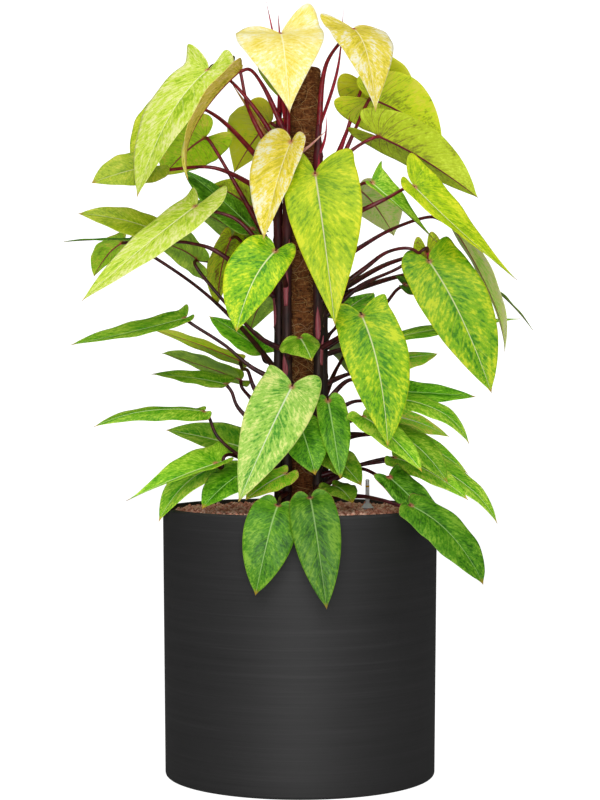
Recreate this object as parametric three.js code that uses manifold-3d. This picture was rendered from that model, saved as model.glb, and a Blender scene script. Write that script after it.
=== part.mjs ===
// A potted painted lady philodendron: four stems climbing a coir pole, with their leaves, standing in clay granulate
// in a round planter. Millimetres, +Z up. The origin is the middle of the planter's underside, and -Y is the front.
import * as THREE from "three";
import { mergeVertices } from "three/addons/utils/BufferGeometryUtils.js";
import Module from "manifold-3d";

const wasm = await Module();
wasm.setup();

// Planter
const PLANTER_HEIGHT = 418;
const PLANTER_TOP_RADIUS = 215;
const PLANTER_FOOT_RADIUS = 211;
const PLANTER_WALL = 12;
const PLANTER_FLOOR = 14;
const PLANTER_EDGE = 5;
const PLANTER_SIDES = 40;

// Culture pot, the slotted inner pot that the plant grows in
const CULTURE_TOP_RADIUS = 140;
const CULTURE_FOOT_RADIUS = 124;
const CULTURE_DEPTH = 190;
const CULTURE_WALL = 2.4;
const CULTURE_SLOTS = 8;
const CULTURE_SLOT_WIDTH = 5;
const CULTURE_SLOT_HEIGHT = 60;
const CULTURE_SLOT_DEPTH = 28;
const CULTURE_SLOT_FOOT = 12;

// Clay granulate, with as many sides as the culture pot
const FILL_TOP = 410;
const FILL_OVER_RIM = 6;
const FILL_RELIEF = 1.8;
const FILL_RING_STEP = 28;
const FILL_SIDES = 24;
const HOLE_OVERRUN = 20;

// Pole: a coir sleeve on a wooden core
const POLE_X = 5;
const POLE_TOP = 1107;
const COIR_RADIUS = 28;
const COIR_RELIEF = 0.8;
const COIR_SIDES = 16;
const COIR_RINGS = 9;
const COIR_EDGE_WIDTH = 5;
const COIR_EDGE_HEIGHT = 3;
const COIR_SEED = 40;
const CORE_RADIUS = 11;
const CORE_SIDES = 12;

// Stems, which climb round the pole
const STEM_REACH = 39;
const STEM_RADIUS = 8;
const STEM_SIDES = 7;
const STEM_FOOT = 262;
const STEM_STEP = 75;
const STEM_SWAY = 1;
const ROOTS_PER_STEM = 3;
const ROOT_RADIUS = 1.6;
const ROOT_LENGTH = 34;
const ROOT_FALL = 30;
const ROOT_FAN = 38;
const ROOT_START = 6;

// Leaf stalks, old sheaths and blades
const STALK_RADIUS = 3;
const STALK_SIDES = 4;
const STALK_STEP = 80;
const STALK_ARCH = 0.06;
const NECK_BACK = 9;
const NECK_DOWN = 11;
const BLADE_HALF_THICKNESS = 0.5;
const LARGE_ACROSS = [0, 0.55, 1];
const SMALL_ACROSS = [0, 1];
const RIGHT_WAVE_PHASE = 1.7;

// Water gauge
const GAUGE_X = 107;
const GAUGE_Y = 30;
const GAUGE_TOP = 459;
const GAUGE_SIDES = 10;
const SHAFT_RADIUS = 6.2;
const SHAFT_BORE = 5.2;
const COLLAR_RADIUS = 10;
const COLLAR_FOOT = 413;
const COLLAR_TOP = 420;
const COLLAR_EDGE = 1;
const SEAT_DEPTH = 2;
const SIGHT_RADIUS = 3.2;
const SIGHT_BORE = 2.4;
const SIGHT_CAP = 2;
const FLOAT_LIFT = 8;
const FLOAT_RADIUS = 4.4;
const FLOAT_HEIGHT = 30;
const FLOAT_EDGE = 2;
const ROD_RADIUS = 0.9;
const MARK_RADIUS = 1.8;
const MARK_HEIGHT = 8;
const MARK_EDGE = 1;

// Room between pieces that touch, the distance at which points are one point, and how far a surface may move
// when slivers are evened out
const GAP = 0.3;
const SAME_POINT = 1e-4;
const SLIVER = 0.05;

// Heights of the culture pot, and the height at which the pole and the gauge stand on its floor
const CULTURE_TOP = FILL_TOP - FILL_OVER_RIM;
const CULTURE_FOOT = CULTURE_TOP - CULTURE_DEPTH;
const STANDING = CULTURE_FOOT + CULTURE_WALL + GAP;

// The front view that every leaf is set out in: the eye's distance from the plant's axis and its height
const EYE_DISTANCE = 3222;
const EYE_HEIGHT = 634;

const UP = new THREE.Vector3(0, 0, 1);

// The four stems: the angle round the pole from the front, the height of the growing tip and a sway phase
const STEMS = {
  front_left: { angle: -40, top: 1012, phase: 0.4 },
  front_right: { angle: 36, top: 1016, phase: 2.1 },
  back_left: { angle: -86, top: 1040, phase: 3.9 },
  back_right: { angle: 124, top: 946, phase: 5.2 },
};

// Young leaf sheaths at the growing tips and dry old ones: stem, foot height, then the points seen from the front as
// across, depth and up, the last one the tip
const SHEATHS = [
  { stem: "front_left", from: 1000, radius: 5, points: [[-33, 0, 1112], [-53, 12, 1212]] },
  { stem: "back_left", from: 1020, radius: 4, points: [[-30, 12, 1120], [-35, 6, 1199]] },
  { stem: "front_right", from: 1004, radius: 3.2, points: [[60, 44, 1110], [69, 56, 1206]] },
  { stem: "back_right", from: 934, radius: 5.6, points: [[66, 10, 985], [79, -6, 1034]] },
  { stem: "front_right", from: 960, radius: 2.6, points: [[40, -48, 1000], [42, -56, 1034]] },
  { stem: "back_left", from: 960, radius: 9, points: [[-66, 14, 1020], [-108, 6, 1084]] },
  { stem: "front_left", from: 966, radius: 5, points: [[6, -50, 978], [45, -56, 1012]] },
];

// Tones of the leaves, from the cream and yellow crown down to the dark ones in the shade
const TONES = {
  cream: 0xd9d3a2,
  yellow: 0xc8c056,
  lime: 0xa3b43f,
  pale: 0x97a874,
  peach: 0xc79c6b,
  fresh: 0x7d9a3b,
  olive: 0x6e7038,
  green: 0x507a30,
  dark: 0x315a2b,
};

// Heart outlines of a young and a grown leaf, one half from the notch at the stalk round to the tip. Each row gives the
// way back into the lobe and the width as parts of the leaf's own, the way along and the vein's root as parts of its
// length.
const YOUNG = [
  [0, 0, 0, 0],
  [-0.45, 0, 0.07, 0],
  [-0.88, 0, 0.26, 0],
  [-1, 0, 0.52, 0],
  [-0.72, 0, 0.8, 0],
  [-0.18, 0.02, 0.97, 0],
  [0, 0.15, 1, 0.03],
  [0, 0.3, 0.94, 0.11],
  [0, 0.46, 0.78, 0.24],
  [0, 0.62, 0.56, 0.41],
  [0, 0.77, 0.33, 0.6],
  [0, 0.89, 0.14, 0.78],
  [0, 0.96, 0.04, 0.9],
  [0, 1, 0, 1],
];
const GROWN = [
  [0, 0, 0, 0],
  [-0.45, 0, 0.07, 0],
  [-0.9, 0, 0.24, 0],
  [-1, 0, 0.48, 0],
  [-0.66, 0, 0.74, 0],
  [-0.12, 0.02, 0.9, 0],
  [0, 0.15, 0.98, 0.03],
  [0, 0.3, 1, 0.12],
  [0, 0.46, 0.93, 0.27],
  [0, 0.62, 0.77, 0.44],
  [0, 0.77, 0.53, 0.62],
  [0, 0.89, 0.27, 0.79],
  [0, 0.96, 0.08, 0.91],
  [0, 1, 0, 1],
];
const OUTLINE_END = GROWN.length - 1;

// Places along the outline, in its rows, where a leaf with a node of its own and a small one have their points
const LARGE_STATIONS = [1.6, 3.2, 4.9, 7, 9.2, 11.3, OUTLINE_END];
const SMALL_STATIONS = [2, 4, 6, 8.6, 11.2, OUTLINE_END];

// What a leaf has where its row says nothing else. Lengths are millimetres and angles degrees.
const LEAF_DEFAULTS = {
  bow: 15,
  peak: 0.45,
  sweep: 0,
  fold: 10,
  twist: 0,
  cup: 6,
  lift: [6, 6],
  splay: [0, 0],
  wave: 1.2,
  waves: 3,
  grown: 1,
};

// Every leaf. hinge and tip are seen from the front as across, depth and up. face is where the upper side looks. wide
// and lobes are the width and the lobe's length of the left and the right half, and splay adds width at the lobe. bow is
// the arch along the rib, peak its place, sweep a sideways curve, fold the angle of each half, twist a turn from hinge
// to tip, cup and lift the margin's droop and the lobes' rise. wave is the height of the margin's ripples and waves their
// number. grown goes from 0, the young outline, to 1, the grown one, and may go past them. stem, root and via set the
// stalk: its stem, its height there and points on its way. own is true where the blade is a piece by itself.
const LEAVES = [
  {
    name: "crown_left", own: true, tone: "yellow", stem: "front_left", root: 978,
    hinge: [-30, -20, 1161], tip: [-16, -170, 1036], face: [0, -6, 6], wide: [72, 66], lobes: [32, 62],
    bow: 24, fold: 8, grown: 0, lift: [6, 34], splay: [0.05, 0.25], via: [[-20, -28, 1069]],
  },
  {
    name: "crown_right", own: true, tone: "yellow", stem: "front_right", root: 997,
    hinge: [85, -5, 1168], tip: [119, -130, 1038], face: [2, -6, 6], wide: [46, 52], lobes: [50, 26],
    bow: 22, fold: 6, grown: 0, lift: [10, 2], splay: [0.4, 0], via: [[42, -20, 1115]],
  },
  {
    name: "lime_left", own: true, tone: "lime", stem: "front_left", root: 955,
    hinge: [-145, -12, 1104], tip: [-256, -95, 904], face: [-5, -7, 4], wide: [62, 54], lobes: [34, 44],
    bow: 22, sweep: 0, fold: 8, twist: 10, grown: 1, lift: [22, 10], splay: [0.5, -0.25], via: [[-60, -24, 1028], [-104, -25, 1082]],
  },
  {
    name: "lime_left_behind", own: true, tone: "lime", stem: "back_left", root: 931,
    hinge: [-201, 40, 1051], tip: [-261, 50, 944], face: [-4, -7, 5], wide: [42, 40], lobes: [12, 12],
    bow: 14, via: [[-134, 48, 1033]],
  },
  {
    name: "high_left", own: true, tone: "fresh", stem: "back_left", root: 900,
    hinge: [-231, -10, 953], tip: [-328, -60, 926], face: [-1, -7, 5], wide: [40, 38], lobes: [18, 18],
    bow: 4, via: [[-134, 34, 950]],
  },
  {
    name: "high_left_turned", own: false, tone: "fresh", stem: "back_left", root: 802,
    hinge: [-150, 40, 997], tip: [-215, 95, 937], face: [-3, 9, 4], wide: [48, 62], lobes: [40, 44],
    bow: 10, via: [[-107, 32, 934]],
  },
  {
    name: "peach_edge", own: true, tone: "peach", stem: "front_left", root: 994,
    hinge: [-94, -72, 1102], tip: [-176, -140, 931], face: [-9, 0, 4], wide: [38, 36], lobes: [14, 10],
    bow: 26, peak: 0.6, sweep: 6, fold: 22, cup: 3, lift: [4, 4], via: [[-60, -50, 1082]],
  },
  {
    name: "olive_high_left", own: false, tone: "olive", stem: "back_left", root: 955,
    hinge: [-108, 65, 1112], tip: [-146, 88, 1066], face: [-4, 6, 5], wide: [16, 26], lobes: [16, 16],
    bow: 10, via: [[-79, -4, 1038]],
  },
  {
    name: "high_left_back", own: true, tone: "lime", stem: "back_left", root: 978,
    hinge: [-46, 60, 1021], tip: [-104, 160, 942], face: [-2, 9, 4], wide: [46, 60], lobes: [30, 60],
    bow: 14, grown: 0.3, splay: [0, 0.25], via: [[-31, 46, 1010]],
  },
  {
    name: "high_right_back", own: true, tone: "lime", stem: "back_right", root: 923,
    hinge: [104, 50, 1079], tip: [170, 120, 966], face: [1, 9, 3], wide: [70, 48], lobes: [44, 40],
    bow: 14, grown: 0, via: [[72, 34, 1003]],
  },
  {
    name: "high_right", own: true, tone: "lime", stem: "back_right", root: 900,
    hinge: [112, 10, 1058], tip: [225, 90, 994], face: [1, 9, 4], wide: [60, 56], lobes: [52, 64],
    bow: 16, via: [[82, 12, 1000]],
  },
  {
    name: "right_red_veined", own: true, tone: "lime", stem: "front_right", root: 918,
    hinge: [124, -20, 999], tip: [280, 30, 903], face: [2, 8, 6], wide: [52, 44], lobes: [44, 44],
    bow: 12, fold: 30, cup: 3, via: [[82, -26, 978]],
  },
  {
    name: "cream_centre", own: true, tone: "cream", stem: "front_left", root: 923,
    hinge: [-14, -70, 991], tip: [-57, -126, 838], face: [-4, -8, 2], wide: [52, 30], lobes: [18, 14],
    bow: 8, fold: 14, cup: 4, grown: 0.5, via: [[-24, -50, 950]],
  },
  {
    name: "centre_large", own: true, tone: "lime", stem: "front_right", root: 876,
    hinge: [24, -90, 940], tip: [55, -170, 702], face: [0, -8, 3], wide: [52, 66], lobes: [56, 40],
    bow: 18, fold: 6, grown: 0.2, splay: [0.15, 0.35], via: [[33, -62, 912]],
  },
  {
    name: "right_narrow", own: false, tone: "fresh", stem: "front_right", root: 876,
    hinge: [113, -15, 926], tip: [220, -20, 829], face: [3, -7, 4], wide: [14, 28], lobes: [9, 12],
    bow: 2, fold: 30, twist: -55, cup: 3, grown: -0.8, lift: [0, 6], splay: [0, 0.7], via: [[79, -32, 915]],
  },
  {
    name: "right_pale_back", own: false, tone: "pale", stem: "back_right", root: 852,
    hinge: [94, 80, 915], tip: [148, 180, 843], face: [2, 7, 5], wide: [50, 42], lobes: [20, 20],
    bow: 10, via: [[79, 50, 890]],
  },
  {
    name: "right_yellow", own: true, tone: "lime", stem: "front_right", root: 849,
    hinge: [180, -40, 920], tip: [341, -60, 774], face: [3, -6, 7], wide: [34, 52], lobes: [20, 50],
    bow: 2, sweep: 8, fold: 15, twist: -25, cup: 4, grown: 0, splay: [0, 0.25], via: [[134, -52, 901]],
  },
  {
    name: "left_variegated", own: true, tone: "fresh", stem: "front_left", root: 766,
    hinge: [-165, -60, 889], tip: [-343, -150, 741], face: [-4, -7, 5], wide: [36, 46], lobes: [28, 56],
    bow: 4, grown: 0.6, splay: [0.5, -0.15], via: [[-97, -48, 867]],
  },
  {
    name: "left_middle", own: true, tone: "green", stem: "back_left", root: 742,
    hinge: [-220, 20, 848], tip: [-349, -5, 878], face: [-1, -6, 7], wide: [36, 38], lobes: [10, 10],
    bow: 8, via: [[-135, -32, 821], [-173, -22, 832]],
  },
  {
    name: "left_level_far", own: false, tone: "green", stem: "back_left", root: 758,
    hinge: [-256, 100, 837], tip: [-372, 90, 834], face: [-1, -1, 9], wide: [34, 34], lobes: [20, 20],
    bow: 2, via: [[-72, 150, 793], [-173, 195, 808], [-233, 150, 827]],
  },
  {
    name: "left_hanging", own: false, tone: "green", stem: "back_left", root: 629,
    hinge: [-280, 165, 832], tip: [-324, 185, 779], face: [-5, 5, 4], wide: [18, 36], lobes: [20, 20],
    bow: 8, via: [[-101, 90, 708], [-176, 155, 774]],
  },
  {
    name: "left_dark_upper", own: true, tone: "dark", stem: "back_left", root: 793,
    hinge: [-75, 35, 854], tip: [-184, 125, 948], face: [2, -4, 7], wide: [32, 46], lobes: [20, 20],
    bow: 4, via: [],
  },
  {
    name: "left_olive_turned", own: true, tone: "green", stem: "back_left", root: 771,
    hinge: [-72, 75, 830], tip: [-185, 185, 895], face: [-1, 7, 6], wide: [42, 42], lobes: [24, 24],
    bow: 6, via: [],
  },
  {
    name: "left_turned_low", own: true, tone: "green", stem: "front_left", root: 661,
    hinge: [-162, 30, 806], tip: [-236, 130, 837], face: [-2, 8, 4], wide: [42, 48], lobes: [18, 44],
    bow: 8, via: [[-60, -14, 681], [-90, 4, 709], [-127, 22, 749]],
  },
  {
    name: "left_olive_back", own: false, tone: "olive", stem: "back_left", root: 821,
    hinge: [-75, 110, 887], tip: [-138, 160, 925], face: [-1, 8, 4], wide: [34, 34], lobes: [20, 20],
    bow: 6, via: [[-30, 50, 843], [-50, 110, 878]],
  },
  {
    name: "left_olive_hanging", own: false, tone: "olive", stem: "back_left", root: 742,
    hinge: [-108, 60, 840], tip: [-130, 150, 733], face: [-5, 5, 3], wide: [36, 34], lobes: [24, 24],
    bow: 8, via: [],
  },
  {
    name: "centre_left_small", own: true, tone: "fresh", stem: "front_left", root: 758,
    hinge: [-39, -110, 819], tip: [-100, -170, 692], face: [0, -8, 4], wide: [50, 36], lobes: [9, 26],
    bow: 10, sweep: 8, via: [[-31, -72, 799]],
  },
  {
    name: "right_pale_turned", own: true, tone: "pale", stem: "front_right", root: 782,
    hinge: [237, 40, 863], tip: [322, 60, 661], face: [8, 3, 4], wide: [32, 36], lobes: [44, 16],
    bow: 16, peak: 0.65, fold: 20, cup: 3, via: [[83, -8, 818], [145, 10, 854], [207, 30, 873]],
  },
  {
    name: "right_far_edge", own: false, tone: "fresh", stem: "back_right", root: 742,
    hinge: [273, 145, 780], tip: [366, 165, 695], face: [8, 0, 6], wide: [24, 24], lobes: [14, 14],
    bow: 8, fold: 4, cup: 0, via: [[157, 110, 780], [228, 140, 790]],
  },
  {
    name: "right_large", own: true, tone: "fresh", stem: "front_right", root: 735,
    hinge: [203, -60, 803], tip: [301, -150, 596], face: [1, -8, 3], wide: [52, 58], lobes: [28, 28],
    bow: 12, sweep: -4, fold: 6, grown: 1, splay: [0, 0.3], via: [[99, -34, 790], [138, -48, 818], [174, -60, 823]],
  },
  {
    name: "right_olive_back", own: false, tone: "olive", stem: "back_right", root: 714,
    hinge: [200, 40, 818], tip: [220, 70, 711], face: [0, 8, 3], wide: [30, 26], lobes: [30, 26],
    bow: 6, via: [[94, 20, 764], [157, 34, 794]],
  },
  {
    name: "right_back_tip", own: false, tone: "green", stem: "back_right", root: 742,
    hinge: [239, 85, 793], tip: [294, 130, 744], face: [4, 4, 5], wide: [24, 24], lobes: [14, 14],
    bow: 4, via: [[145, 85, 802], [204, 95, 812]],
  },
  {
    name: "right_small_dark", own: false, tone: "dark", stem: "back_right", root: 664,
    hinge: [165, 75, 766], tip: [220, 135, 755], face: [0, -6, 5], wide: [26, 26], lobes: [22, 14],
    bow: 4, via: [[126, 50, 727]],
  },
  {
    name: "front_right_large", own: true, tone: "fresh", stem: "front_right", root: 664,
    hinge: [97, -110, 718], tip: [138, -200, 512], face: [1, -8, 3], wide: [48, 52], lobes: [26, 28],
    bow: 14, sweep: -6, fold: 6, splay: [0.1, 0.4], via: [[72, -68, 692]],
  },
  {
    name: "right_dark_back", own: false, tone: "dark", stem: "back_right", root: 672,
    hinge: [60, 40, 714], tip: [116, 150, 754], face: [-2, -5, 7], wide: [32, 32], lobes: [14, 14],
    bow: 4, via: [],
  },
  {
    name: "small_curled", own: false, tone: "fresh", stem: "front_left", root: 645,
    hinge: [0, -60, 683], tip: [19, -120, 646], face: [0, -6, 6], wide: [36, 28], lobes: [10, 9],
    bow: 4, fold: -8, grown: 0, via: [[-14, -44, 664]],
  },
  {
    name: "left_low_back", own: true, tone: "green", stem: "back_left", root: 629,
    hinge: [-60, 60, 661], tip: [-143, 140, 717], face: [1, -3, 8], wide: [36, 36], lobes: [14, 16],
    bow: 4, via: [],
  },
  {
    name: "left_long", own: true, tone: "green", stem: "front_left", root: 609,
    hinge: [-181, -20, 714], tip: [-360, -80, 672], face: [-2, -3.2, 9], wide: [48, 30], lobes: [14, 12],
    bow: -2, lift: [12, 4], via: [[-75, -24, 636], [-119, -22, 672]],
  },
  {
    name: "left_lime_turned", own: true, tone: "fresh", stem: "back_left", root: 554,
    hinge: [-94, 16, 647], tip: [-240, 80, 699], face: [-2, 4, 7], wide: [28, 30], lobes: [9, 9],
    bow: 3, via: [[-72, -34, 604], [-82, -20, 631]],
  },
  {
    name: "left_dark_turned", own: true, tone: "green", stem: "back_left", root: 541,
    hinge: [-93, 26, 617], tip: [-217, 120, 659], face: [-2, 5, 6], wide: [24, 42], lobes: [9, 9],
    bow: 2, via: [[-79, 24, 590]],
  },
  {
    name: "left_dark_narrow", own: true, tone: "dark", stem: "front_left", root: 507,
    hinge: [-116, -10, 610], tip: [-234, 40, 626], face: [-1, -2.5, 9], wide: [38, 22], lobes: [9, 9],
    bow: 3, via: [[-97, -16, 573]],
  },
  {
    name: "left_level", own: true, tone: "green", stem: "front_left", root: 472,
    hinge: [-152, -40, 568], tip: [-324, -110, 543], face: [-1, -4, 8], wide: [38, 24], lobes: [9, 9],
    bow: 14, peak: 0.55, fold: -8, via: [[-75, -30, 486], [-129, -38, 527]],
  },
  {
    name: "low_left_dark", own: true, tone: "dark", stem: "back_left", root: 469,
    hinge: [-82, 60, 508], tip: [-211, 120, 538], face: [-1, -5, 6], wide: [42, 20], lobes: [14, 9],
    bow: 4, via: [],
  },
  {
    name: "low_left_bright", own: true, tone: "fresh", stem: "front_left", root: 447,
    hinge: [-132, -60, 485], tip: [-273, -150, 427], face: [-2, -4, 7], wide: [42, 34], lobes: [44, 20],
    bow: 3, fold: 25, cup: 4, grown: -0.6, lift: [4, 4], splay: [0.3, 0], via: [[-97, -20, 496], [-119, -50, 496]],
  },
  {
    name: "low_left_rim", own: true, tone: "green", stem: "back_left", root: 447,
    hinge: [-107, 6, 480], tip: [-222, -70, 394], face: [-5, -5, 6], wide: [48, 44], lobes: [26, 26],
    bow: 26, via: [[-85, 8, 469]],
  },
  {
    name: "low_left_inner", own: true, tone: "green", stem: "front_left", root: 438,
    hinge: [-79, -60, 475], tip: [-154, -120, 414], face: [-3, -5, 6], wide: [42, 44], lobes: [20, 20],
    bow: 8, via: [[-55, -38, 463]],
  },
  {
    name: "front_left_large", own: true, tone: "fresh", stem: "front_left", root: 546,
    hinge: [-13, -120, 606], tip: [-97, -190, 424], face: [0, -8, 3], wide: [50, 48], lobes: [20, 32],
    bow: 12, fold: 6, grown: 0.5, splay: [0.35, 0.15], via: [[-16, -76, 582]],
  },
  {
    name: "front_centre", own: true, tone: "green", stem: "front_right", root: 522,
    hinge: [44, -60, 584], tip: [64, -110, 460], face: [0, -8, 4], wide: [21, 28], lobes: [9, 9],
    bow: 10, via: [[42, -44, 562]],
  },
  {
    name: "front_low_left", own: false, tone: "green", stem: "front_left", root: 499,
    hinge: [0, -66, 546], tip: [24, -105, 467], face: [0, -6, 5], wide: [36, 36], lobes: [16, 16],
    bow: 8, via: [],
  },
  {
    name: "front_low_dark", own: false, tone: "dark", stem: "front_right", root: 475,
    hinge: [41, -50, 504], tip: [97, -95, 450], face: [2, -6, 6], wide: [28, 32], lobes: [14, 14],
    bow: 6, via: [],
  },
  {
    name: "front_low_round", own: false, tone: "green", stem: "front_right", root: 433,
    hinge: [52, -68, 450], tip: [83, -114, 423], face: [1, -4, 7], wide: [28, 28], lobes: [14, 14],
    bow: 6, via: [],
  },
  {
    name: "rim_left", own: true, tone: "green", stem: "front_left", root: 441,
    hinge: [-35, -205, 419], tip: [-70, -252, 278], face: [0, -8, 3], wide: [38, 38], lobes: [18, 9],
    bow: 30, peak: 0.35, fold: 8, grown: 1.3, via: [[-30, -100, 433]],
  },
  {
    name: "rim_right", own: true, tone: "green", stem: "front_right", root: 450,
    hinge: [16, -210, 431], tip: [42, -285, 256], face: [0, -8, 3], wide: [35, 36], lobes: [15, 15],
    bow: 30, peak: 0.35, fold: 8, grown: 1.2, via: [[25, -100, 444]],
  },
  {
    name: "right_level_upper", own: true, tone: "dark", stem: "back_right", root: 656,
    hinge: [134, 40, 680], tip: [346, 150, 713], face: [0, -2, 9], wide: [34, 34], lobes: [20, 20],
    bow: 4, via: [],
  },
  {
    name: "right_level_back", own: false, tone: "green", stem: "back_right", root: 609,
    hinge: [123, 60, 642], tip: [217, 140, 658], face: [1, -4, 7], wide: [32, 22], lobes: [16, 16],
    bow: 2, via: [],
  },
  {
    name: "right_level_middle", own: true, tone: "green", stem: "front_right", root: 566,
    hinge: [126, 20, 599], tip: [277, 60, 590], face: [1, -4, 9], wide: [42, 42], lobes: [20, 20],
    bow: 2, via: [[79, -14, 617]],
  },
  {
    name: "right_arched", own: true, tone: "green", stem: "front_right", root: 546,
    hinge: [132, -26, 588], tip: [266, -60, 516], face: [2, -4, 8], wide: [38, 30], lobes: [20, 20],
    bow: 26, peak: 0.6, grown: 1.3, via: [[82, -30, 582]],
  },
  {
    name: "right_low_back", own: false, tone: "dark", stem: "back_right", root: 546,
    hinge: [126, 115, 562], tip: [235, 190, 527], face: [2, -5, 8], wide: [36, 36], lobes: [20, 20],
    bow: 8, via: [],
  },
  {
    name: "right_low_upper", own: true, tone: "dark", stem: "back_right", root: 522,
    hinge: [134, 55, 535], tip: [264, 110, 469], face: [3, -5, 8], wide: [38, 38], lobes: [20, 20],
    bow: 12, via: [],
  },
  {
    name: "right_low_lime", own: true, tone: "fresh", stem: "front_right", root: 499,
    hinge: [145, -60, 535], tip: [232, -110, 455], face: [3, -5, 7], wide: [38, 38], lobes: [18, 18],
    bow: 12, via: [[79, -20, 526]],
  },
  {
    name: "right_low_front", own: true, tone: "fresh", stem: "front_right", root: 522,
    hinge: [99, -90, 559], tip: [192, -170, 472], face: [4, -5, 6], wide: [40, 36], lobes: [9, 9],
    bow: 8, via: [[71, -60, 548]],
  },
  {
    name: "right_low_dark", own: true, tone: "dark", stem: "front_right", root: 467,
    hinge: [148, -30, 494], tip: [264, -60, 428], face: [3, -5, 8], wide: [34, 36], lobes: [9, 9],
    bow: 10, via: [[90, -26, 482]],
  },
  {
    name: "right_low_outer", own: true, tone: "green", stem: "back_right", root: 460,
    hinge: [189, 8, 494], tip: [310, -12, 391], face: [4, -4, 7], wide: [32, 36], lobes: [20, 20],
    bow: 16, peak: 0.6, via: [[91, 24, 482], [138, 24, 494]],
  },
  {
    name: "right_low_inner", own: true, tone: "dark", stem: "front_right", root: 447,
    hinge: [140, -112, 464], tip: [234, -158, 365], face: [3, -6, 6], wide: [25, 36], lobes: [14, 10],
    bow: 4, fold: 8, splay: [0.4, 0.3], via: [[90, -50, 477]],
  },
  {
    name: "right_rim_large", own: true, tone: "green", stem: "front_right", root: 434,
    hinge: [174, -178, 419], tip: [288, -222, 295], face: [4, -5, 6], wide: [50, 40], lobes: [10, 9],
    bow: 12, sweep: -8, grown: 1.9, via: [[91, -80, 434], [129, -150, 428]],
  },
  {
    name: "behind_crown", own: false, tone: "lime", stem: "back_left", root: 1025,
    hinge: [-24, 90, 1123], tip: [-31, 210, 1057], face: [0, 6, 6], wide: [44, 44], lobes: [26, 26],
    bow: 10, via: [],
  },
  {
    name: "behind_upper", own: false, tone: "fresh", stem: "back_right", root: 860,
    hinge: [19, 130, 915], tip: [39, 260, 802], face: [1, 6, 5], wide: [48, 48], lobes: [30, 30],
    bow: 16, via: [],
  },
  {
    name: "behind_middle", own: false, tone: "green", stem: "back_left", root: 672,
    hinge: [-44, 120, 749], tip: [-79, 260, 692], face: [-2, 6, 6], wide: [42, 42], lobes: [24, 24],
    bow: 16, via: [],
  },
  {
    name: "behind_lower_right", own: false, tone: "green", stem: "back_right", root: 585,
    hinge: [79, 130, 664], tip: [129, 275, 570], face: [3, 6, 6], wide: [48, 48], lobes: [28, 28],
    bow: 16, via: [],
  },
  {
    name: "behind_lower_left", own: false, tone: "dark", stem: "back_left", root: 522,
    hinge: [-24, 130, 593], tip: [-50, 275, 504], face: [-2, 6, 6], wide: [46, 46], lobes: [28, 28],
    bow: 16, via: [],
  },
  {
    name: "front_low_strip", own: false, tone: "fresh", stem: "front_left", root: 460,
    hinge: [-22, -60, 469], tip: [-86, -108, 428], face: [-2, -5, 6], wide: [28, 28], lobes: [12, 12],
    bow: 4, via: [],
  },];

// A point that is seen from the front at the given distance across and height, moved to its depth
function place([across, depth, up]) {
  const spread = (EYE_DISTANCE + depth) / EYE_DISTANCE;
  return new THREE.Vector3(across * spread, depth, EYE_HEIGHT + (up - EYE_HEIGHT) * spread);
}

// A smooth curve through the rows of a table, at row number k
function alongTable(table, k) {
  const row = Math.min(Math.floor(k), table.length - 2);
  const part = k - row;
  const before = table[Math.max(row - 1, 0)];
  const here = table[row];
  const next = table[row + 1];
  const after = table[Math.min(row + 2, table.length - 1)];
  return here.map((value, column) => {
    const slope = next[column] - before[column];
    const bend = 2 * before[column] - 5 * value + 4 * next[column] - after[column];
    const twist = 3 * value - before[column] - 3 * next[column] + after[column];
    return 0.5 * (2 * value + slope * part + bend * part ** 2 + twist * part ** 3);
  });
}

// Where a leaf lies: its hinge, length, and the directions along it, up from its face and to its left
function leafFrame(leaf) {
  const hinge = place(leaf.hinge);
  const along = place(leaf.tip).sub(hinge);
  const length = along.length();
  along.normalize();
  const up = new THREE.Vector3(...leaf.face);
  up.addScaledVector(along, -up.dot(along)).normalize();
  const left = new THREE.Vector3().crossVectors(along, up);
  return { hinge, length, along, up, left };
}

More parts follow.
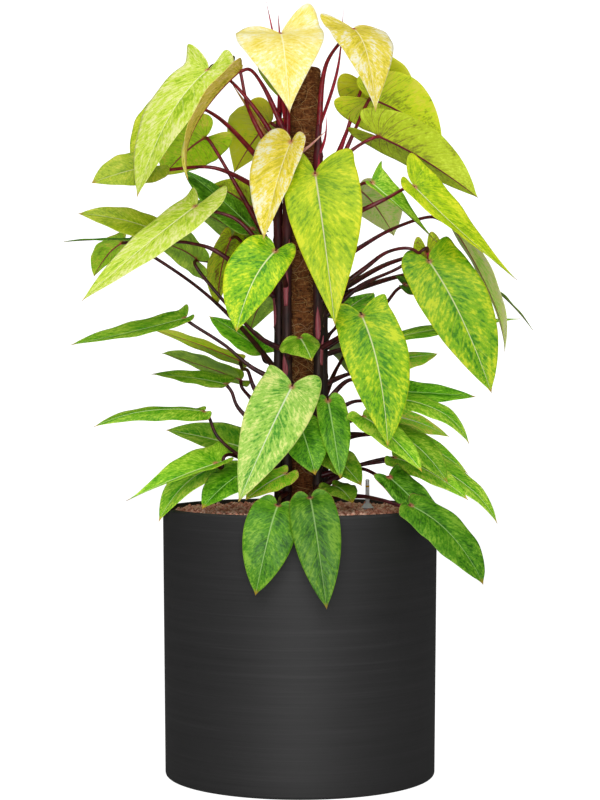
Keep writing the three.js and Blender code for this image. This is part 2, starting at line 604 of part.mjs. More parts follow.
// A function that gives the point of a leaf's middle surface for a half (0 left, 1 right), a place k along the outline
// and a share of the way from the rib to the margin. spare widens the outline all round.
function leafSurface(leaf, spare = 0) {
  const frame = leafFrame(leaf);
  const length = frame.length + 2 * spare;
  const hinge = frame.hinge.clone().addScaledVector(frame.along, -spare);
  const fold = THREE.MathUtils.degToRad(leaf.fold);
  return (half, k, share) => {
    const sign = half === 0 ? 1 : -1;
    const width = leaf.wide[half] + spare;
    const lobe = leaf.lobes[half] + spare;
    const grown = alongTable(GROWN, k);
    const young = alongTable(YOUNG, k);
    const [back, forth, side, root] = grown.map((value, i) => value * leaf.grown + young[i] * (1 - leaf.grown));
    const marginWidth = (Math.max(side, 0) + leaf.splay[half] * back ** 2) * width;
    const marginAlong = back * lobe + forth * length;
    const a = root * length + (marginAlong - root * length) * share;
    const b = marginWidth * share;

    // The rib's arch and its slope here
    const t = THREE.MathUtils.clamp(a / length, 0, 1);
    const rising = t < leaf.peak;
    const reach = rising ? leaf.peak : 1 - leaf.peak;
    const off = Math.abs(t - leaf.peak) / reach;
    const hump = 1 - off ** 2;
    const slope = ((rising ? 2 : -2) * off) / reach / length;
    const spine = hinge.clone().addScaledVector(frame.along, t * length);
    spine.addScaledVector(frame.up, leaf.bow * hump).addScaledVector(frame.left, leaf.sweep * hump);
    const tangent = frame.along.clone().addScaledVector(frame.up, leaf.bow * slope);
    tangent.addScaledVector(frame.left, leaf.sweep * slope).normalize();
    const up = frame.up.clone().addScaledVector(tangent, -frame.up.dot(tangent)).normalize();
    const left = new THREE.Vector3().crossVectors(tangent, up);
    const turn = THREE.MathUtils.degToRad(leaf.twist) * t;
    up.applyAxisAngle(tangent, turn);
    left.applyAxisAngle(tangent, turn);

    // The lobes lie behind the hinge, and the margin droops, lifts and waves
    const behind = Math.min(a, 0);
    const outward = b / width;
    const ripple = Math.sin((2 * Math.PI * leaf.waves * a) / length + (half === 0 ? 0 : RIGHT_WAVE_PHASE));
    let rise = b * Math.sin(fold) - leaf.cup * outward ** 2;
    rise += leaf.lift[half] * (behind / Math.max(lobe, 1)) ** 2;
    rise += leaf.wave * ripple * outward ** 2;
    spine.addScaledVector(tangent, behind);
    return spine.addScaledVector(left, sign * b * Math.cos(fold)).addScaledVector(up, rise);
  };
}

// The blade as one thin closed body: the middle surface set off to both sides, and a rim round it
function bladeGeometry(leaf, halfThickness, spare = 0) {
  const surface = leafSurface(leaf, spare);
  const stations = leaf.own ? LARGE_STATIONS : SMALL_STATIONS;
  const across = leaf.own ? LARGE_ACROSS : SMALL_ACROSS;
  const points = [];
  const triangles = [];
  const numberOf = new Map();
  const vertex = (half, k, share) => {
    const point = surface(half, k, share);
    const key = point.toArray().map((value) => value.toFixed(2)).join();
    if (!numberOf.has(key)) {
      numberOf.set(key, points.length);
      points.push(point);
    }
    return numberOf.get(key);
  };
  const addTriangle = (a, b, c, flip) => {
    if (a !== b && b !== c && c !== a) triangles.push(flip ? [a, c, b] : [a, b, c]);
  };
  for (const half of [0, 1]) {
    for (let row = 0; row + 1 < stations.length; row += 1) {
      for (let column = 0; column + 1 < across.length; column += 1) {
        const [inner, outer] = [across[column], across[column + 1]];
        const a = vertex(half, stations[row], inner);
        const b = vertex(half, stations[row], outer);
        const c = vertex(half, stations[row + 1], inner);
        const d = vertex(half, stations[row + 1], outer);
        addTriangle(a, b, c, half === 1);
        addTriangle(b, d, c, half === 1);
      }
    }
  }
  return thickened(points, triangles, halfThickness);
}

// Closes a surface of points and triangles into a body of the given half thickness
function thickened(points, triangles, halfThickness) {
  const normals = points.map(() => new THREE.Vector3());
  const edges = new Map();
  for (const [a, b, c] of triangles) {
    const normal = points[b].clone().sub(points[a]).cross(points[c].clone().sub(points[a]));
    for (const corner of [a, b, c]) normals[corner].add(normal);
    for (const [from, to] of [[a, b], [b, c], [c, a]]) {
      if (!edges.delete(`${to},${from}`)) edges.set(`${from},${to}`, [from, to]);
    }
  }
  const count = points.length;
  const positions = [];
  for (const side of [1, -1]) {
    points.forEach((point, i) => {
      const shifted = point.clone().addScaledVector(normals[i].clone().normalize(), side * halfThickness);
      positions.push(...shifted.toArray());
    });
  }
  const index = [];
  for (const [a, b, c] of triangles) index.push(a, b, c, a + count, c + count, b + count);
  for (const [a, b] of edges.values()) index.push(b, a, a + count, b, a + count, b + count);
  const geometry = new THREE.BufferGeometry();
  geometry.setAttribute("position", new THREE.Float32BufferAttribute(positions, 3));
  geometry.setIndex(index);
  return geometry;
}

// A closed geometry as a solid that can be joined and cut, its faces turned outward
function toSolid(geometry) {
  const bare = geometry.clone();
  bare.deleteAttribute("normal");
  bare.deleteAttribute("uv");
  const merged = mergeVertices(bare, SAME_POINT);
  const positions = merged.attributes.position.array;
  const index = merged.index.array;
  const corners = [new THREE.Vector3(), new THREE.Vector3(), new THREE.Vector3()];
  const kept = [];
  let volume = 0;
  for (let i = 0; i < index.length; i += 3) {
    const [a, b, c] = [index[i], index[i + 1], index[i + 2]];
    if (a === b || b === c || c === a) continue;
    kept.push(a, b, c);
    [a, b, c].forEach((corner, j) => corners[j].fromArray(positions, corner * 3));
    volume += corners[0].dot(corners[1].cross(corners[2]));
  }
  if (volume < 0) kept.reverse();
  const mesh = new wasm.Mesh({
    numProp: 3,
    vertProperties: new Float32Array(positions),
    triVerts: new Uint32Array(kept),
  });
  return new wasm.Manifold(mesh);
}

// A solid back as a geometry
function toGeometry(solid) {
  const mesh = solid.getMesh();
  const geometry = new THREE.BufferGeometry();
  geometry.setAttribute("position", new THREE.BufferAttribute(mesh.vertProperties, 3));
  geometry.setIndex(new THREE.BufferAttribute(mesh.triVerts, 1));
  geometry.computeVertexNormals();
  return geometry;
}

// The largest body of a solid, without the crumbs and slivers that a cut leaves
function largestBody(solid) {
  const bodies = solid.asOriginal().simplify(SLIVER).decompose();
  return bodies.reduce((best, body) => (body.volume() > best.volume() ? body : best));
}

// A body turned round the upright axis from points of radius and height
function turned(profile, sides) {
  const geometry = new THREE.LatheGeometry(profile.map(([radius, height]) => new THREE.Vector2(radius, height)), sides);
  return geometry.rotateX(Math.PI / 2);
}

// A tube with flat sides along a curve
function tube(points, radius, sides, step) {
  const curve = new THREE.CatmullRomCurve3(points);
  const steps = Math.max(points.length - 1, Math.round(curve.getLength() / step));
  const corners = [];
  for (let i = 0; i < sides; i += 1) {
    const angle = (2 * Math.PI * i) / sides;
    corners.push(new THREE.Vector2(radius * Math.cos(angle), radius * Math.sin(angle)));
  }
  const section = new THREE.Shape(corners);
  return new THREE.ExtrudeGeometry(section, { steps, extrudePath: curve, bevelEnabled: false });
}

// A slim cone from one point to another
function spike(from, to, radius, sides) {
  const way = to.clone().sub(from);
  const cone = new THREE.ConeGeometry(radius, way.length(), sides);
  cone.translate(0, way.length() / 2, 0);
  cone.applyQuaternion(new THREE.Quaternion().setFromUnitVectors(new THREE.Vector3(0, 1, 0), way.normalize()));
  return cone.translate(...from.toArray());
}

// A number from 0 to 1 that is always the same for the same seed
function scatter(seed) {
  const value = Math.sin(seed * 12.9898) * 43758.5453;
  return value - Math.floor(value);
}

// The pot that shows: a plain round planter, slightly narrower at the foot, with rounded edges
function planter() {
  const innerTop = PLANTER_TOP_RADIUS - PLANTER_WALL;
  const innerFoot = PLANTER_FOOT_RADIUS - PLANTER_WALL;
  const edge = PLANTER_EDGE;
  const round = (radius, height, from) => {
    const arc = [];
    for (let i = 0; i <= 2; i += 1) {
      const angle = THREE.MathUtils.degToRad(from + 45 * i);
      arc.push([radius + edge * Math.cos(angle), height + edge * Math.sin(angle)]);
    }
    return arc;
  };
  const profile = [
    [0, 0],
    ...round(PLANTER_FOOT_RADIUS - edge, edge, -90),
    ...round(PLANTER_TOP_RADIUS - edge, PLANTER_HEIGHT - edge, 0),
    ...round(innerTop + edge, PLANTER_HEIGHT - edge, 90),
    [innerFoot, PLANTER_FLOOR],
    [0, PLANTER_FLOOR],
  ];
  return toSolid(turned(profile, PLANTER_SIDES));
}

// The culture pot, with slots for the water low in its wall
function culturePot() {
  const profile = [
    [0, CULTURE_FOOT],
    [CULTURE_FOOT_RADIUS, CULTURE_FOOT],
    [CULTURE_TOP_RADIUS, CULTURE_TOP],
    [CULTURE_TOP_RADIUS - CULTURE_WALL, CULTURE_TOP],
    [CULTURE_FOOT_RADIUS - CULTURE_WALL, CULTURE_FOOT + CULTURE_WALL],
    [0, CULTURE_FOOT + CULTURE_WALL],
  ];
  const slots = [];
  for (let i = 0; i < CULTURE_SLOTS; i += 1) {
    const box = new THREE.BoxGeometry(CULTURE_SLOT_DEPTH, CULTURE_SLOT_WIDTH, CULTURE_SLOT_HEIGHT);
    box.translate(CULTURE_FOOT_RADIUS, 0, CULTURE_FOOT + CULTURE_SLOT_FOOT + CULTURE_SLOT_HEIGHT / 2);
    box.rotateZ((2 * Math.PI * (i + 0.5)) / CULTURE_SLOTS);
    slots.push(toSolid(box));
  }
  return slots.reduce((pot, slot) => pot.subtract(slot), toSolid(turned(profile, FILL_SIDES)));
}

// A turned body whose inner top points stand up and down a little, like the stones of the granulate
function pebbled(profile, rim) {
  const geometry = turned(profile, FILL_SIDES);
  geometry.deleteAttribute("normal");
  geometry.deleteAttribute("uv");
  const merged = mergeVertices(geometry, SAME_POINT);
  const position = merged.attributes.position;
  for (let i = 0; i < position.count; i += 1) {
    const radius = Math.hypot(position.getX(i), position.getY(i));
    const onTop = position.getZ(i) > FILL_TOP - GAP;
    if (onTop && radius > rim[0] && radius < rim[1]) {
      position.setZ(i, FILL_TOP + FILL_RELIEF * (scatter(i) * 2 - 1));
    }
  }
  return toSolid(merged);
}

// Radii at even steps between two radii, without the ends
function ringsBetween(from, to) {
  const count = Math.round(Math.abs(to - from) / FILL_RING_STEP);
  return Array.from({ length: count - 1 }, (_, i) => from + ((to - from) * (i + 1)) / count);
}

// The granulate in the planter, round and under the culture pot
function planterFill() {
  const inner = CULTURE_TOP_RADIUS + GAP * 3;
  const outerTop = PLANTER_TOP_RADIUS - PLANTER_WALL - GAP * 2;
  const outerFoot = PLANTER_FOOT_RADIUS - PLANTER_WALL - GAP * 2;
  const profile = [
    [0, PLANTER_FLOOR + GAP],
    [outerFoot, PLANTER_FLOOR + GAP],
    [outerTop, FILL_TOP],
    ...ringsBetween(outerTop, inner).map((radius) => [radius, FILL_TOP]),
    [inner, FILL_TOP],
    [inner, CULTURE_TOP - GAP],
    [CULTURE_FOOT_RADIUS + GAP * 2, CULTURE_FOOT - GAP],
    [0, CULTURE_FOOT - GAP],
  ];
  return pebbled(profile, [inner + 1, outerTop - 1]);
}

// The granulate in the culture pot, which also lies over the pot's edge
function cultureFill(holes) {
  const lip = CULTURE_TOP_RADIUS + GAP * 2;
  const profile = [
    [0, STANDING],
    [CULTURE_FOOT_RADIUS - CULTURE_WALL - GAP * 2, STANDING],
    [CULTURE_TOP_RADIUS - CULTURE_WALL - GAP * 2, CULTURE_TOP + GAP],
    [lip, CULTURE_TOP + GAP],
    [lip, FILL_TOP],
    ...ringsBetween(lip, 0).map((radius) => [radius, FILL_TOP]),
    [0, FILL_TOP],
  ];
  const whole = pebbled(profile, [-1, lip - 1]);
  return largestBody(holes.reduce((fill, hole) => fill.subtract(hole), whole));
}

// The pole's wooden core
function poleCore() {
  const profile = [[0, STANDING], [CORE_RADIUS, STANDING], [CORE_RADIUS, POLE_TOP], [0, POLE_TOP]];
  return toSolid(turned(profile, CORE_SIDES).translate(POLE_X, 0, 0));
}

// The coir wound round the core, a little thicker and thinner by turns
function coirSleeve() {
  const bore = CORE_RADIUS + GAP;
  const shoulder = POLE_TOP - COIR_EDGE_HEIGHT;
  const profile = [[bore, STANDING]];
  for (let i = 0; i <= COIR_RINGS; i += 1) {
    const height = STANDING + ((shoulder - STANDING) * i) / COIR_RINGS;
    profile.push([COIR_RADIUS + COIR_RELIEF * (scatter(COIR_SEED + i) * 2 - 1), height]);
  }
  profile.push([COIR_RADIUS - COIR_EDGE_WIDTH, POLE_TOP], [bore, POLE_TOP], [bore, STANDING]);
  return toSolid(turned(profile, COIR_SIDES).translate(POLE_X, 0, 0));
}

// A plain round hole through the granulate, for the pole or the gauge
function roundHole(radius, sides, x, y) {
  const foot = STANDING - HOLE_OVERRUN;
  const top = FILL_TOP + HOLE_OVERRUN;
  return toSolid(turned([[0, foot], [radius, foot], [radius, top], [0, top]], sides).translate(x, y, 0));
}

// A point on a stem's axis
function stemPoint(stem, height) {
  const angle = THREE.MathUtils.degToRad(stem.angle);
  const sway = STEM_SWAY * Math.sin(height / 55 + stem.phase);
  const reach = STEM_REACH + sway;
  return new THREE.Vector3(POLE_X + reach * Math.sin(angle), -reach * Math.cos(angle), height);
}

// The stem itself, from its roots to the growing tip
function stemTube(stem, radius) {
  const points = [];
  const count = Math.round((stem.top - STEM_FOOT) / STEM_STEP);
  for (let i = 0; i <= count; i += 1) {
    points.push(stemPoint(stem, STEM_FOOT + ((stem.top - STEM_FOOT) * i) / count));
  }
  return toSolid(tube(points, radius, STEM_SIDES, STEM_STEP));
}

// The roots at a stem's foot, spreading away from the pole
function rootTubes(stem, radius) {
  const roots = [];
  for (let i = 0; i < ROOTS_PER_STEM; i += 1) {
    const angle = THREE.MathUtils.degToRad(stem.angle + ROOT_FAN * (i - (ROOTS_PER_STEM - 1) / 2));
    const out = new THREE.Vector3(Math.sin(angle), -Math.cos(angle), 0);
    const start = stemPoint(stem, STEM_FOOT + ROOT_START);
    const end = start.clone().addScaledVector(out, ROOT_LENGTH).addScaledVector(UP, -ROOT_FALL);
    roots.push(toSolid(tube([start, end], radius, STALK_SIDES, ROOT_LENGTH * 2)));
  }
  return roots;
}

// The way of a leaf's stalk from inside the stem, up through its points, to the blade's hinge
function stalkPoints(leaf) {
  const frame = leafFrame(leaf);
  const start = stemPoint(STEMS[leaf.stem], leaf.root);
  const bend = frame.hinge.clone().addScaledVector(frame.along, -NECK_BACK).addScaledVector(frame.up, -NECK_DOWN);
  const short = leaf.own ? BLADE_HALF_THICKNESS + GAP : 0;
  const end = frame.hinge.clone().addScaledVector(frame.up, -short);
  const via = leaf.via.map(place);
  if (via.length === 0) {
    const middle = start.clone().lerp(bend, 0.5);
    via.push(middle.addScaledVector(UP, start.distanceTo(bend) * STALK_ARCH));
  }
  return [start, ...via, bend, end];
}

// One stem with its roots, stalks, sheaths and the small leaves that grow on it as one body
function stemSolid(name) {
  const stem = STEMS[name];
  const leaves = LEAVES.filter((leaf) => leaf.stem === name);
  const parts = [stemTube(stem, STEM_RADIUS), ...rootTubes(stem, ROOT_RADIUS)];
  for (const leaf of leaves) {
    parts.push(toSolid(tube(stalkPoints(leaf), STALK_RADIUS, STALK_SIDES, STALK_STEP)));
  }
  for (const sheath of SHEATHS.filter((each) => each.stem === name)) {
    const [middle, tip] = sheath.points.map(place);
    parts.push(toSolid(tube([stemPoint(stem, sheath.from), middle], sheath.radius, STALK_SIDES, STALK_STEP)));
    parts.push(toSolid(spike(middle, tip, sheath.radius, STALK_SIDES)));
  }
  let solid = wasm.Manifold.union(parts);
  for (const leaf of LEAVES.filter((each) => each.own)) {
    solid = solid.subtract(toSolid(bladeGeometry(leaf, BLADE_HALF_THICKNESS + GAP, GAP)));
  }
  const small = leaves.filter((leaf) => !leaf.own);
  for (const leaf of small) {
    solid = solid.add(toSolid(bladeGeometry(leaf, BLADE_HALF_THICKNESS)));
  }
  return largestBody(solid);
}

// Plain holes in the granulate for a stem and its roots
function stemHoles(stem) {
  return [stemTube(stem, STEM_RADIUS + GAP * 2), ...rootTubes(stem, ROOT_RADIUS + GAP * 2)];
}

// The water gauge's grey shaft, with a flared collar on the granulate
function gaugeShaft() {
  const neck = SIGHT_RADIUS + GAP;
  const profile = [
    [SHAFT_BORE, STANDING],
    [SHAFT_RADIUS, STANDING],
    [SHAFT_RADIUS, COLLAR_FOOT],
    [COLLAR_RADIUS, COLLAR_FOOT + COLLAR_EDGE],
    [COLLAR_RADIUS, COLLAR_FOOT + COLLAR_EDGE * 2],
    [SHAFT_RADIUS, COLLAR_TOP],
    [neck, COLLAR_TOP],
    [neck, COLLAR_FOOT - SEAT_DEPTH],
    [SHAFT_BORE, COLLAR_FOOT - SEAT_DEPTH * 2],
    [SHAFT_BORE, STANDING],
  ];
  return toSolid(turned(profile, GAUGE_SIDES).translate(GAUGE_X, GAUGE_Y, 0));
}

// Its clear tube, closed at the top
function gaugeTube() {
  const foot = COLLAR_FOOT - SEAT_DEPTH;
  const profile = [
    [SIGHT_BORE, foot],
    [SIGHT_RADIUS, foot],
    [SIGHT_RADIUS, GAUGE_TOP - SIGHT_CAP],
    [SIGHT_BORE, GAUGE_TOP],
    [0, GAUGE_TOP],
    [0, GAUGE_TOP - SIGHT_CAP],
    [SIGHT_BORE, GAUGE_TOP - SIGHT_CAP],
    [SIGHT_BORE, foot],
  ];
  return toSolid(turned(profile, GAUGE_SIDES).translate(GAUGE_X, GAUGE_Y, 0));
}

// Its float in the shaft, with a thin rod up to the red mark in the tube
function gaugeFloat() {
  const foot = STANDING + FLOAT_LIFT;
  const profile = [
    [0, foot],
    [FLOAT_RADIUS, foot + FLOAT_EDGE],
    [FLOAT_RADIUS, foot + FLOAT_HEIGHT - FLOAT_EDGE],
    [ROD_RADIUS, foot + FLOAT_HEIGHT],
    [ROD_RADIUS, COLLAR_TOP],
    [MARK_RADIUS, COLLAR_TOP + MARK_EDGE],
    [MARK_RADIUS, COLLAR_TOP + MARK_HEIGHT],
    [0, COLLAR_TOP + MARK_HEIGHT + MARK_EDGE],
  ];
  return toSolid(turned(profile, GAUGE_SIDES).translate(GAUGE_X, GAUGE_Y, 0));
}

// Puts the pieces together
const plant = new THREE.Group();

function addPiece(name, solid, look) {
  const piece = new THREE.Mesh(toGeometry(solid), new THREE.MeshStandardMaterial(look));
  piece.name = name;
  plant.add(piece);
}

for (const leaf of LEAVES) Object.assign(leaf, { ...LEAF_DEFAULTS, ...leaf });

addPiece("planter", planter(), { color: 0x4b4a4c, roughness: 0.55, metalness: 0 });
addPiece("culture_pot", culturePot(), { color: 0x3b3b3a, roughness: 0.6, metalness: 0 });
addPiece("granulate_in_planter", planterFill(), { color: 0xa9705a, roughness: 0.95, metalness: 0 });
const holes = [
  roundHole(COIR_RADIUS + COIR_RELIEF + GAP * 2, COIR_SIDES, POLE_X, 0),
  roundHole(SHAFT_RADIUS + GAP * 2, GAUGE_SIDES, GAUGE_X, GAUGE_Y),
  ...Object.values(STEMS).flatMap(stemHoles),
];
addPiece("granulate_in_culture_pot", cultureFill(holes), { color: 0xa9705a, roughness: 0.95, metalness: 0 });
addPiece("pole_core", poleCore(), { color: 0x9a7b52, roughness: 0.8, metalness: 0 });
addPiece("pole_coir", coirSleeve(), { color: 0x6b4a30, roughness: 1, metalness: 0 });
addPiece("gauge_shaft", gaugeShaft(), { color: 0x85888a, roughness: 0.5, metalness: 0 });
addPiece("gauge_tube", gaugeTube(), { color: 0xdfe6e4, roughness: 0.1, metalness: 0, transparent: true, opacity: 0.4 });
addPiece("gauge_float", gaugeFloat(), { color: 0xc4322c, roughness: 0.4, metalness: 0 });
for (const name of Object.keys(STEMS)) {
  addPiece(`stem_${name}`, stemSolid(name), { color: 0x6d2f2c, roughness: 0.5, metalness: 0 });
}
for (const leaf of LEAVES.filter((each) => each.own)) {
  const blade = toSolid(bladeGeometry(leaf, BLADE_HALF_THICKNESS));
  addPiece(`leaf_${leaf.name}`, blade, { color: TONES[leaf.tone], roughness: 0.4, metalness: 0 });
}

export default plant;
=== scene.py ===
"""A potted painted lady philodendron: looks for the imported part.

Metres, +Z up. The origin is the middle of the planter's underside, and -Y is the front. The leaves, stalks
and stems follow the same rows as the part, with finer surfaces, veins, fibres and stones.
"""

import math

import bpy
import numpy as np
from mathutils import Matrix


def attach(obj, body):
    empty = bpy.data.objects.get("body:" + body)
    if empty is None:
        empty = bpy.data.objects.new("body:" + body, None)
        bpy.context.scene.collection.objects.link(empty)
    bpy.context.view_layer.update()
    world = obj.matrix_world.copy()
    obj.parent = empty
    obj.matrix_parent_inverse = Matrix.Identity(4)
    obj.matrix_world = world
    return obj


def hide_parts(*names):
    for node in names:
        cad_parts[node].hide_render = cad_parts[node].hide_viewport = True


# Studio: how strongly surround and floor light the plant, and how bright they are where they are seen
SURROUND_GLOW = 0.42
SURROUND_SEEN_GLOW = 1.3
FLOOR_GLOW = 0.4
FLOOR_SEEN_GLOW = 1.0
FLOOR_REACH = 8
LIGHTS_AIM = np.array([0.0, 0.0, 0.75])

# Planter
PLANTER_HEIGHT = 0.418
PLANTER_TOP_RADIUS = 0.215
PLANTER_FOOT_RADIUS = 0.211
PLANTER_WALL = 0.012
PLANTER_FLOOR = 0.014
PLANTER_EDGE = 0.005
PLANTER_EDGE_POINTS = 7
PLANTER_WALL_STEPS = 11
PLANTER_SIDES = 192

# Clay granulate: the stones lie in rows a little closer than their spacing, sunk by STONE_SINK and shaken
FILL_TOP = 0.410
STONE_RADIUS = 0.0031
STONE_SPACING = 0.0054
STONE_ROWS_CLOSER = 0.93
STONE_SINK = 0.0006
STONE_SHAKE = (0.0008, 0.0008, 0.0007)
STONE_SQUEEZE = (0.72, 1.22)
STONE_DENTS = (0.86, 1.1)
STONE_SIZES = (0.75, 1.2)
STONES_RAISED = 900
STONES_RAISED_BY = (0.0016, 0.003)

# Pole: a coir sleeve on a wooden core
POLE_X = 0.005
POLE_FOOT = 0.217
POLE_TOP = 1.107
CORE_BORE = 0.0113
COIR_RADIUS = 0.0278
COIR_SIDES = 72
COIR_RINGS = 300
COIR_WAVES = 24
COIR_WAVES_AROUND = (1, 14)
COIR_WAVES_UP = (20, 260)
COIR_LUMP_HEIGHT = 0.0009
COIR_LUMP_MIDDLE = 0.0006
COIR_TOP_EDGE = 0.004
COIR_TOP_TAPER = 0.12

# Loose coir fibres: how far each runs round (in radians) and up, how it bends, and how far it stands off
FIBRES = 1500
FIBRE_RADIUS = 0.00035
FIBRE_RADIUS_SPREAD = (0.5, 1.3)
FIBRE_RUN_AROUND = 0.9
FIBRE_RUN_UP = 0.022
FIBRE_BEND = 0.25
FIBRE_BENDS = (2, 7)
FIBRE_LOFT = (0.0002, 0.0022)
FIBRE_GAP = 0.0002
FIBRE_POINTS = 7
FIBRE_SIDES = 3

# Stems, which swell at their nodes and narrow at the growing tip
STEM_REACH = 0.039
STEM_RADIUS = 0.008
STEM_FOOT = 0.262
STEM_SWAY = 0.001
STEM_SWAY_STRETCH = 0.055
STEM_NODE_SPACING = 0.034
STEM_RINGS_PER_NODE = 9
STEM_SIDES = 14
NODE_WIDTH = 0.09
BETWEEN_NODES = 0.92
NODE_SWELL = 0.16
STEM_TIP_LENGTH = 0.06
STEM_TIP_TAPER = 0.5

# Old sheath husks on the stems
HUSK_ROWS = 16
HUSK_COLUMNS = 9
HUSK_GAP = 0.0006
HUSK_STAND = 0.0035
HUSK_FLATTER = 0.12
HUSK_THICKNESS = 0.0007

# Roots at the stems' feet, and the thin aerial roots that hold the pole
ROOTS_PER_STEM = 3
ROOT_LENGTH = 0.034
ROOT_RADIUS = 0.0014
ROOT_FAN = 38
ROOT_FALL = 0.030
ROOT_RISE = 0.006
ROOT_ARCH = 0.004
ROOT_STEPS = 6
ROOT_SIDES = 6
AERIAL_ROOTS = 34
AERIAL_RADIUS = 0.0009
AERIAL_THICKNESS = (0.6, 1.2)
AERIAL_FROM = 0.44
AERIAL_BELOW_TIP = 0.06
AERIAL_BENDS = 6
AERIAL_TURN = (0.1, 0.55)
AERIAL_LOFT = (0.0012, 0.005)
AERIAL_RISE = (-0.016, 0.007)
AERIAL_START_RISE = 0.004

# Leaf stalks: radii, the neck just before the blade, and the shares of the way where the thickness changes
STALK_RADIUS = 0.0027
STALK_BASE_RADIUS = 0.0046
STALK_NECK_RADIUS = 0.0029
STALK_BASE = (0.05, 0.45)
STALK_NECK = (0.8, 0.94)
STALK_END = (0.95, 1.0)
STALK_END_TAPER = 0.35
STALK_ARCH = 0.06
STALK_STEPS = 12
STALK_SIDES = 10
NECK_BACK = 0.009
NECK_DROP = 0.011

# Leaf blades: the rib stands out below and narrows to the tip, and the edge is thinner than the middle. The
# pattern step sets each leaf's streaks apart from the others', and fine veins run between the side veins.
BLADE_HALF_THICKNESS = 0.0004
BLADE_EDGE_TAPER = 0.6
RIB_HEIGHT = 0.0011
RIB_WIDTH = 0.0015
RIB_NARROWS = 0.9
RIB_LOWERS = 0.85
RIB_START = 0.004
RIB_GROOVE = 0.25
RIB_FAR = 60
BLADE_STATIONS = 44
BLADE_SHARES = (0.02, 0.045, 0.08, 0.14, 0.22, 0.33, 0.45, 0.58, 0.71, 0.83, 0.93, 1.0)
RIGHT_HALF_RIPPLE = 1.7
# Painted light: the most that a leaf's far side is lightened, and the cap on any lightened leaf colour
FAR_SIDE_PAINTED_LIGHT = 1.1
LIGHTEST = 0.95
PATTERN_STEP = 1.37
SIDE_VEINS = 16.9
VEIN_BEND = 0.035
FINE_VEINS = 5.0
BLUSH = "c43c58"
BLUSH_BELOW = "8c2030"
BURNT_TIP = "c47a1c"

# Water gauge
GAUGE_X = 0.107
GAUGE_Y = 0.030
GAUGE_TOP = 0.459
GAUGE_TOP_THICKNESS = 0.002
GAUGE_TOP_EDGE = 0.0008
GAUGE_FOOT = 0.2165
GAUGE_SHAFT_RADIUS = 0.0062
GAUGE_BORE_RADIUS = 0.0052
GAUGE_COLLAR_FOOT = 0.413
GAUGE_COLLAR_TOP = 0.420
GAUGE_COLLAR_RADIUS = 0.010
GAUGE_COLLAR_EDGE = 0.0008
GAUGE_COLLAR_DEPTH = 0.002
GAUGE_LIP_WIDTH = 0.0012
GAUGE_LIP_HEIGHT = 0.001
GAUGE_TUBE_RADIUS = 0.0032
GAUGE_TUBE_BORE = 0.0024
GAUGE_TUBE_GAP = 0.0003
GAUGE_MARK_BELOW_TOP = 0.011
FLOAT_ABOVE_FOOT = 0.008
FLOAT_RADIUS = 0.0044
FLOAT_LENGTH = 0.030
FLOAT_EDGE = 0.002
FLOAT_ROD_RADIUS = 0.0009
FLOAT_MARK_RADIUS = 0.0018
FLOAT_MARK_LENGTH = 0.009
FLOAT_MARK_EDGE = 0.001

# The view that the leaves are set out in, and the photo's lens in pixels
EYE_DISTANCE = 3.222
EYE_HEIGHT = 0.634
PHOTO_HEIGHT = 800
LENS_PIXELS = 2050
HORIZON_ABOVE_MIDDLE = 31
SENSOR_SIZE = 36

UP = np.array([0.0, 0.0, 1.0])
WELDS_PER_METRE = 1e7
STEEP = 0.2

# The four stems: the angle round the pole from the front, the height of the growing tip and a sway phase
STEMS = {
    "front_left": {"angle": -40, "top": 1.012, "phase": 0.4},
    "front_right": {"angle": 36, "top": 1.016, "phase": 2.1},
    "back_left": {"angle": -86, "top": 1.040, "phase": 3.9},
    "back_right": {"angle": 124, "top": 0.946, "phase": 5.2},
}

# The finishes of a stem's piece, in the order of their numbers in its mesh
STEM_FINISHES = ["stem_bark", "leaf_stalk", "young_sheath", "root", "dry_sheath", "pale_sheath"]

# Young leaf sheaths at the growing tips, a dry one and a pale one: stem, foot height, radius, middle and
# tip as seen from the front (across, depth, up), finish
SHEATHS = [
    ("front_left", 1.000, 0.0050, [(-0.033, 0, 1.112), (-0.053, 0.012, 1.212)], "young_sheath"),
    ("back_left", 1.020, 0.0040, [(-0.030, 0.012, 1.120), (-0.035, 0.006, 1.199)], "young_sheath"),
    ("front_right", 1.004, 0.0032, [(0.060, 0.044, 1.110), (0.069, 0.056, 1.206)], "young_sheath"),
    ("back_right", 0.934, 0.0056, [(0.066, 0.010, 0.985), (0.079, -0.006, 1.034)], "young_sheath"),
    ("front_right", 0.960, 0.0026, [(0.040, -0.048, 1.000), (0.042, -0.056, 1.034)], "young_sheath"),
    ("back_left", 0.960, 0.0090, [(-0.066, 0.014, 1.020), (-0.108, 0.006, 1.084)], "dry_sheath"),
    ("front_left", 0.966, 0.0050, [(0.006, -0.050, 0.978), (0.045, -0.056, 1.012)], "pale_sheath"),
]

# Old pink sheath husks that cling to the stems: stem, foot height, length, width, degrees round the stem
# from the side that faces away from the pole
HUSKS = [
    ("front_left", 0.732, 0.074, 0.0105, 30),
    ("front_left", 0.792, 0.044, 0.0090, 60),
    ("front_left", 0.622, 0.036, 0.0120, 10),
    ("front_left", 0.905, 0.060, 0.0080, 40),
    ("front_right", 0.680, 0.052, 0.0110, -40),
    ("front_right", 0.640, 0.046, 0.0090, 10),
    ("front_right", 0.900, 0.070, 0.0090, -30),
    ("back_left", 0.700, 0.060, 0.0100, 20),
    ("back_left", 0.540, 0.050, 0.0100, -20),
    ("back_right", 0.780, 0.060, 0.0100, 0),
    ("back_right", 0.600, 0.050, 0.0100, 30),
]

